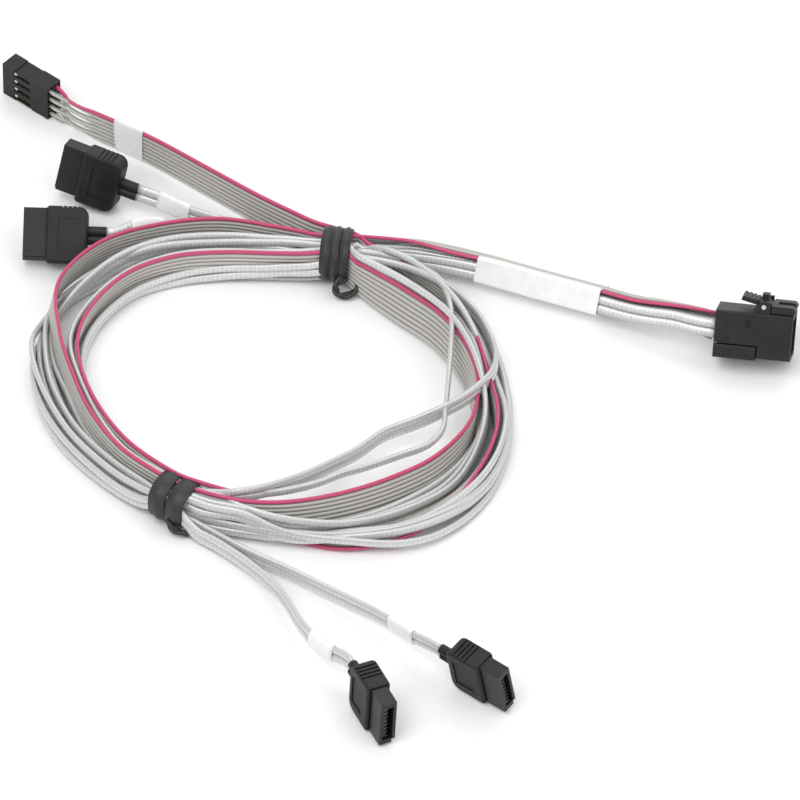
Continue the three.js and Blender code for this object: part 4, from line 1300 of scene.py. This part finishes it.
    name: str
    node: str
    half_thick: float
    half_wide: float
    wall: float = 0.22
    sides: int = 24
    power: float = 3.0

    def build(
        self, wardrobe: Wardrobe, centres: np.ndarray, thin: np.ndarray, wide: np.ndarray
    ) -> bpy.types.Object:
        """Return the wrap.

        Args:
            wardrobe: Source of its finish.
            centres: Middle of the cord at each ring.
            thin: Direction through the cord at each ring.
            wide: Direction across the cord at each ring.

        Returns:
            An open-ended sleeve with a wall, in place of its CAD node.
        """
        reach = reached(centres)
        order = [*range(len(centres)), *reversed(range(len(centres))), 0]
        rings = []
        for place, i in enumerate(order):
            grow = 0.0 if len(centres) <= place < 2 * len(centres) else self.wall
            ring = []
            for turn in angles(self.sides):
                x, y = superellipse(turn, self.power)
                ring.append(
                    centres[i]
                    + thin[i] * x * (self.half_thick + grow) * MM
                    + wide[i] * y * (self.half_wide + grow) * MM
                )
            rings.append(ring)
        sweep = Sweep()
        sweep.tube(np.array(rings), reach[order], shares(self.sides), capped=False)
        piece = sweep.make(self.name)
        wardrobe.dress(piece, Slot.WRAP)
        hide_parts(self.node)
        return piece


# Each sleeve's distance back from the cord's end, the marker's with its length, in mm
SLEEVE_SPOTS = {"a": 11.8, "b": 13.6, "c": 10.4, "d": 11.5}
SLEEVE_LENGTH = 8.6
MARKER_SPOT = (26.0, 8.6)
# Half thickness and half width inside the wraps, in mm
SLEEVE_ROOM = (0.72, 2.4)
MARKER_ROOM = (0.55, 5.15)
WRAP_RINGS = 8


def sleeve(wardrobe: Wardrobe, lower: Twinax, upper: Twinax) -> bpy.types.Object:
    """Return the marker sleeve round a pair of twinax cords near their plug."""
    spot = SLEEVE_SPOTS[lower.tail] * MM
    half = SLEEVE_LENGTH / 2 * MM
    rows = []
    for step in np.linspace(spot + half, spot - half, WRAP_RINGS):
        ends = [cord.line.at(1 - step / cord.line.length)[:3] for cord in (lower, upper)]
        rows.append((0.5 * (ends[0] + ends[1]), ends[1] - ends[0]))
    centres = np.array([row[0] for row in rows])
    wide = unit(np.array([row[1] for row in rows]))
    thin = unit(np.cross(wide, np.gradient(centres, axis=0)))
    names = f"sleeve_wrap_{lower.tail}", f"marker_sleeve_{lower.tail}"
    wrap = Wrap(*names, *SLEEVE_ROOM)
    return wrap.build(wardrobe, centres, thin, wide)


def ribbon_wrap(wardrobe: Wardrobe, ribbon: Ribbon) -> bpy.types.Object:
    """Return the marker folded round the ribbon's tail."""
    spot, length = (value * MM for value in MARKER_SPOT)
    rows = [
        ribbon.line.at(1 - step / ribbon.line.length)
        for step in np.linspace(spot + length / 2, spot - length / 2, WRAP_RINGS)
    ]
    centres = np.array(rows)[:, :3]
    ahead = unit(np.gradient(centres, axis=0))
    wide = square_to(ahead, np.array(rows)[:, 3:6])
    wrap = Wrap("ribbon_wrap", "ribbon_marker", *MARKER_ROOM)
    return wrap.build(wardrobe, centres, unit(np.cross(wide, ahead)), wide)


# The strip's section: place across in widths, place outwards in thicknesses
STRIP_SECTION = (
    (-0.5, 0.0), (-0.46, 0.5), (-0.22, 0.58), (-0.12, 0.95), (0.0, 1.05), (0.12, 0.95),
    (0.22, 0.58), (0.46, 0.5), (0.5, 0.0), (0.3, -0.2), (-0.3, -0.2),
)  # fmt: skip


@dataclass(frozen=True)
class TwistTie:
    """A coated wire strip wound round the bundle, with its ends twisted together."""

    name: str
    spot: tuple[float, float]
    heading: float
    half_wide: float
    height: float
    underside: float
    strip: float
    offsets: tuple[float, ...]
    tail: tuple[Triple, ...]
    seed: int
    thick: float = 0.75
    gap: float = 0.42
    tail_wire: float = 0.6
    tail_sides: int = 8
    twist_pitch: float = 0.009
    swing: float = 0.4 * MM
    rings: int = 72

    def _strip(self, sweep: Sweep, offset: float, rng: random.Random) -> None:
        """Add one turn of the strip at an offset along the bundle."""
        turn = math.radians(self.heading)
        axis = np.array([math.cos(turn), math.sin(turn), 0.0])
        side = np.array([-math.sin(turn), math.cos(turn), 0.0])
        centre = np.array([*self.spot, self.underside + self.height / 2])
        waves = [
            (rng.randint(1, 4), rng.uniform(0, 6.28), rng.uniform(0.1, 0.3)) for _ in range(3)
        ]
        slant = rng.uniform(-0.35, 0.35)
        rings = []
        for angle in (*angles(self.rings), 2 * math.pi):
            x, z = superellipse(angle)
            wave = sum(size * math.sin(n * angle + phase) for n, phase, size in waves)
            out = self.gap + 0.12 * wave
            level = SKY * z * (self.height / 2 + out)
            middle = centre + side * x * (self.half_wide + out) + level
            normal = unit(side * x / self.half_wide + SKY * z / (self.height / 2))
            shift = offset + 0.35 * wave + slant * math.sin(angle)
            rings.append(
                [
                    TABLE.place(
                        middle
                        + axis * (shift + a * self.strip)
                        + normal * max(b, 0.0) * self.thick
                    )
                    for a, b in STRIP_SECTION
                ]
            )
        reach = np.linspace(0, 0.04, self.rings + 1)
        sweep.tube(np.array(rings), reach, shares(len(STRIP_SECTION)))

    def _tail(self, sweep: Sweep) -> None:
        """Add the two twisted ends."""
        line = Line([TABLE.place(point) for point in self.tail], 0.0004)
        ahead = line.tangents()
        side = unit(np.cross(ahead, np.array([0.13, 0.21, 1.0])))
        up = np.cross(side, ahead)
        for start in (0.0, math.pi):
            angle = (start + line.reach / self.twist_pitch * 2 * math.pi)[:, None]
            centres = line.points + self.swing * (np.cos(angle) * side + np.sin(angle) * up)
            rings = [
                centres + self.tail_wire * MM * (math.cos(turn) * side + math.sin(turn) * up)
                for turn in angles(self.tail_sides)
            ]
            sweep.tube(np.stack(rings, axis=1), line.reach, shares(self.tail_sides))

    def build(self, wardrobe: Wardrobe) -> bpy.types.Object:
        """Return the tie, in place of its CAD node."""
        rng = random.Random(self.seed)
        sweep = Sweep()
        for offset in self.offsets:
            self._strip(sweep, offset, rng)
        self._tail(sweep)
        piece = sweep.make(f"{self.name}_strip")
        wardrobe.dress(piece, Slot.TIE)
        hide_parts(self.name)
        return piece


TIES = (
    TwistTie(
        "twist_tie_one", (-15.8, 45.3), -9.0, 5.6, 11.2, 1.2, 2.7, (-2.5, 0.0, 2.4),
        ((-14.6, 38.6, 5.2), (-16.2, 37.4, 2.9), (-15.6, 35.8, 1.6), (-12.8, 35.9, 1.6),
         (-11.0, 37.4, 2.1), (-10.4, 38.8, 3.4)), 11,
    ),
    TwistTie(
        "twist_tie_two", (-55.5, -40.6), -31.0, 4.7, 9.4, 1.2, 4.9, (-2.35, 2.35),
        ((-57.4, -45.8, 4.2), (-56.4, -47.0, 2.4), (-54.2, -47.9, 1.6), (-52.4, -48.2, 1.5)), 23,
    ),
)  # fmt: skip


# A lug's rings: height over its depth in mm, and share of its full size
LUG_DOME = ((-0.5, 1.0), (0.0, 1.0), (0.16, 0.82), (0.26, 0.4))


@dataclass(frozen=True)
class TerminalLugs:
    """The bright locking lugs seen in the crimp housing's windows."""

    from_front: float = 4.25
    depth: float = 2.2
    size: tuple[float, float] = (0.62, 0.55)
    sides: int = 12
    power: float = 2.8

    def build(self, wardrobe: Wardrobe) -> bpy.types.Object:
        """Return eight small domes, four on each wide side."""
        sweep = Sweep()
        for face in (-1, 1):
            for rank in range(4):
                height = (rank - 1.5) * PIN_PITCH
                rings = []
                for level, share in LUG_DOME:
                    ring = []
                    for turn in angles(self.sides):
                        x, z = superellipse(turn, self.power)
                        ring.append(
                            SIDEBAND.point(
                                -self.from_front + x * self.size[0] * share,
                                face * (self.depth + level),
                                height + z * self.size[1] * share,
                            )
                        )
                    rings.append(ring)
                sweep.tube(np.array(rings), np.arange(4) * MM, shares(self.sides))
        return wardrobe.dress(sweep.make("terminal_lugs"), Slot.PIN)


# ---------------------------------------------------------------- studio


# Name, place from the layout's middle and size in metres, and power of each lamp
LAMPS: tuple[tuple[str, Triple, float, float], ...] = (
    ("key", (-0.5, -0.7, 1.5), 1.2, 15.0),
    ("fill", (1.1, -0.6, 1.1), 1.4, 8.0),
    ("back", (0.1, 1.2, 1.3), 1.4, 8.0),
)


@dataclass(frozen=True)
class Studio:
    """White floor, soft lamps and a plain world."""

    table: Table
    floor_size: float = 6.0
    floor_drop: float = 0.0002
    ambient: float = 0.55

    def build(self) -> None:
        """Add the floor, the lamps and the world."""
        self._floor()
        self._world()
        for lamp in LAMPS:
            self._lamp(*lamp)

    def _floor(self) -> None:
        """Add a matt white floor."""
        half = self.floor_size / 2
        mesh = bpy.data.meshes.new("floor")
        corners = ((-half, -half), (half, -half), (half, half), (-half, half))
        mesh.from_pydata([(x, y, -self.floor_drop) for x, y in corners], [], [(0, 1, 2, 3)])
        floor = add_object("floor", mesh)
        graph = Graph.of_material("floor_white")
        graph.set(
            Base_Color=rgba((0.93, 0.93, 0.93)), Roughness=0.9, Specular_IOR_Level=0.1
        )
        mesh.materials.append(graph.owner)

    def _world(self) -> None:
        """Light evenly, and show white to camera, glossy and transmission rays."""
        world = bpy.data.worlds.new("studio")
        bpy.context.scene.world = world
        graph = Graph(world, "Background")
        rays = graph.node("ShaderNodeLightPath", {}, {})
        camera, glossy, through = (
            Value(graph, rays.outputs[f"Is {kind} Ray"])
            for kind in ("Camera", "Glossy", "Transmission")
        )
        shown = graph.math("MAXIMUM", graph.math("MAXIMUM", camera, glossy), through)
        level = graph.node(
            "ShaderNodeMapRange",
            {},
            {"Value": shown, "To Min": self.ambient, "To Max": 1.0},
        )
        graph.set(Color=rgba((1, 1, 1)), Strength=Value(graph, level.outputs["Result"]))

    def _lamp(self, name: str, spot: Triple, size: float, power: float) -> None:
        """Add a soft square lamp aimed at the middle of the coil."""
        data = bpy.data.lights.new(name, "AREA")
        data.size = size
        data.energy = power
        aim = self.table.centre()
        aim_at(add_object(name, data), aim + Vector(spot), aim)


def main() -> None:
    """Build the camera, the cords, the finishes and the studio in order."""
    logging.basicConfig(level=logging.INFO, format="%(name)s: %(message)s")
    bpy.context.scene.view_settings.view_transform = "Standard"
    SIGHT.add_camera()
    wardrobe = Wardrobe()
    cords = [Twinax(index, wardrobe) for index in range(8)]
    pieces = [cord.build() for cord in cords]
    for lower, upper in zip(cords[::2], cords[1::2]):
        LOG.info("built %s", sleeve(wardrobe, lower, upper).name)
    ribbon = Ribbon(wardrobe)
    ribbon_piece = ribbon.build()
    LOG.info("built %s", ribbon_wrap(wardrobe, ribbon).name)
    LOG.info("built %s", TerminalLugs().build(wardrobe).name)
    for tie in TIES:
        LOG.info("built %s", tie.build(wardrobe).name)
    for cord, piece in zip(cords, pieces):
        cord.declare(piece)
        LOG.info("twinax cord %d is %.3f m", cord.index + 1, cord.line.length)
    ribbon.declare(ribbon_piece)
    LOG.info("ribbon is %.3f m", ribbon.line.length)
    wardrobe.dress_nodes()
    Studio(TABLE).build()


if __name__ == "__main__":
    main()
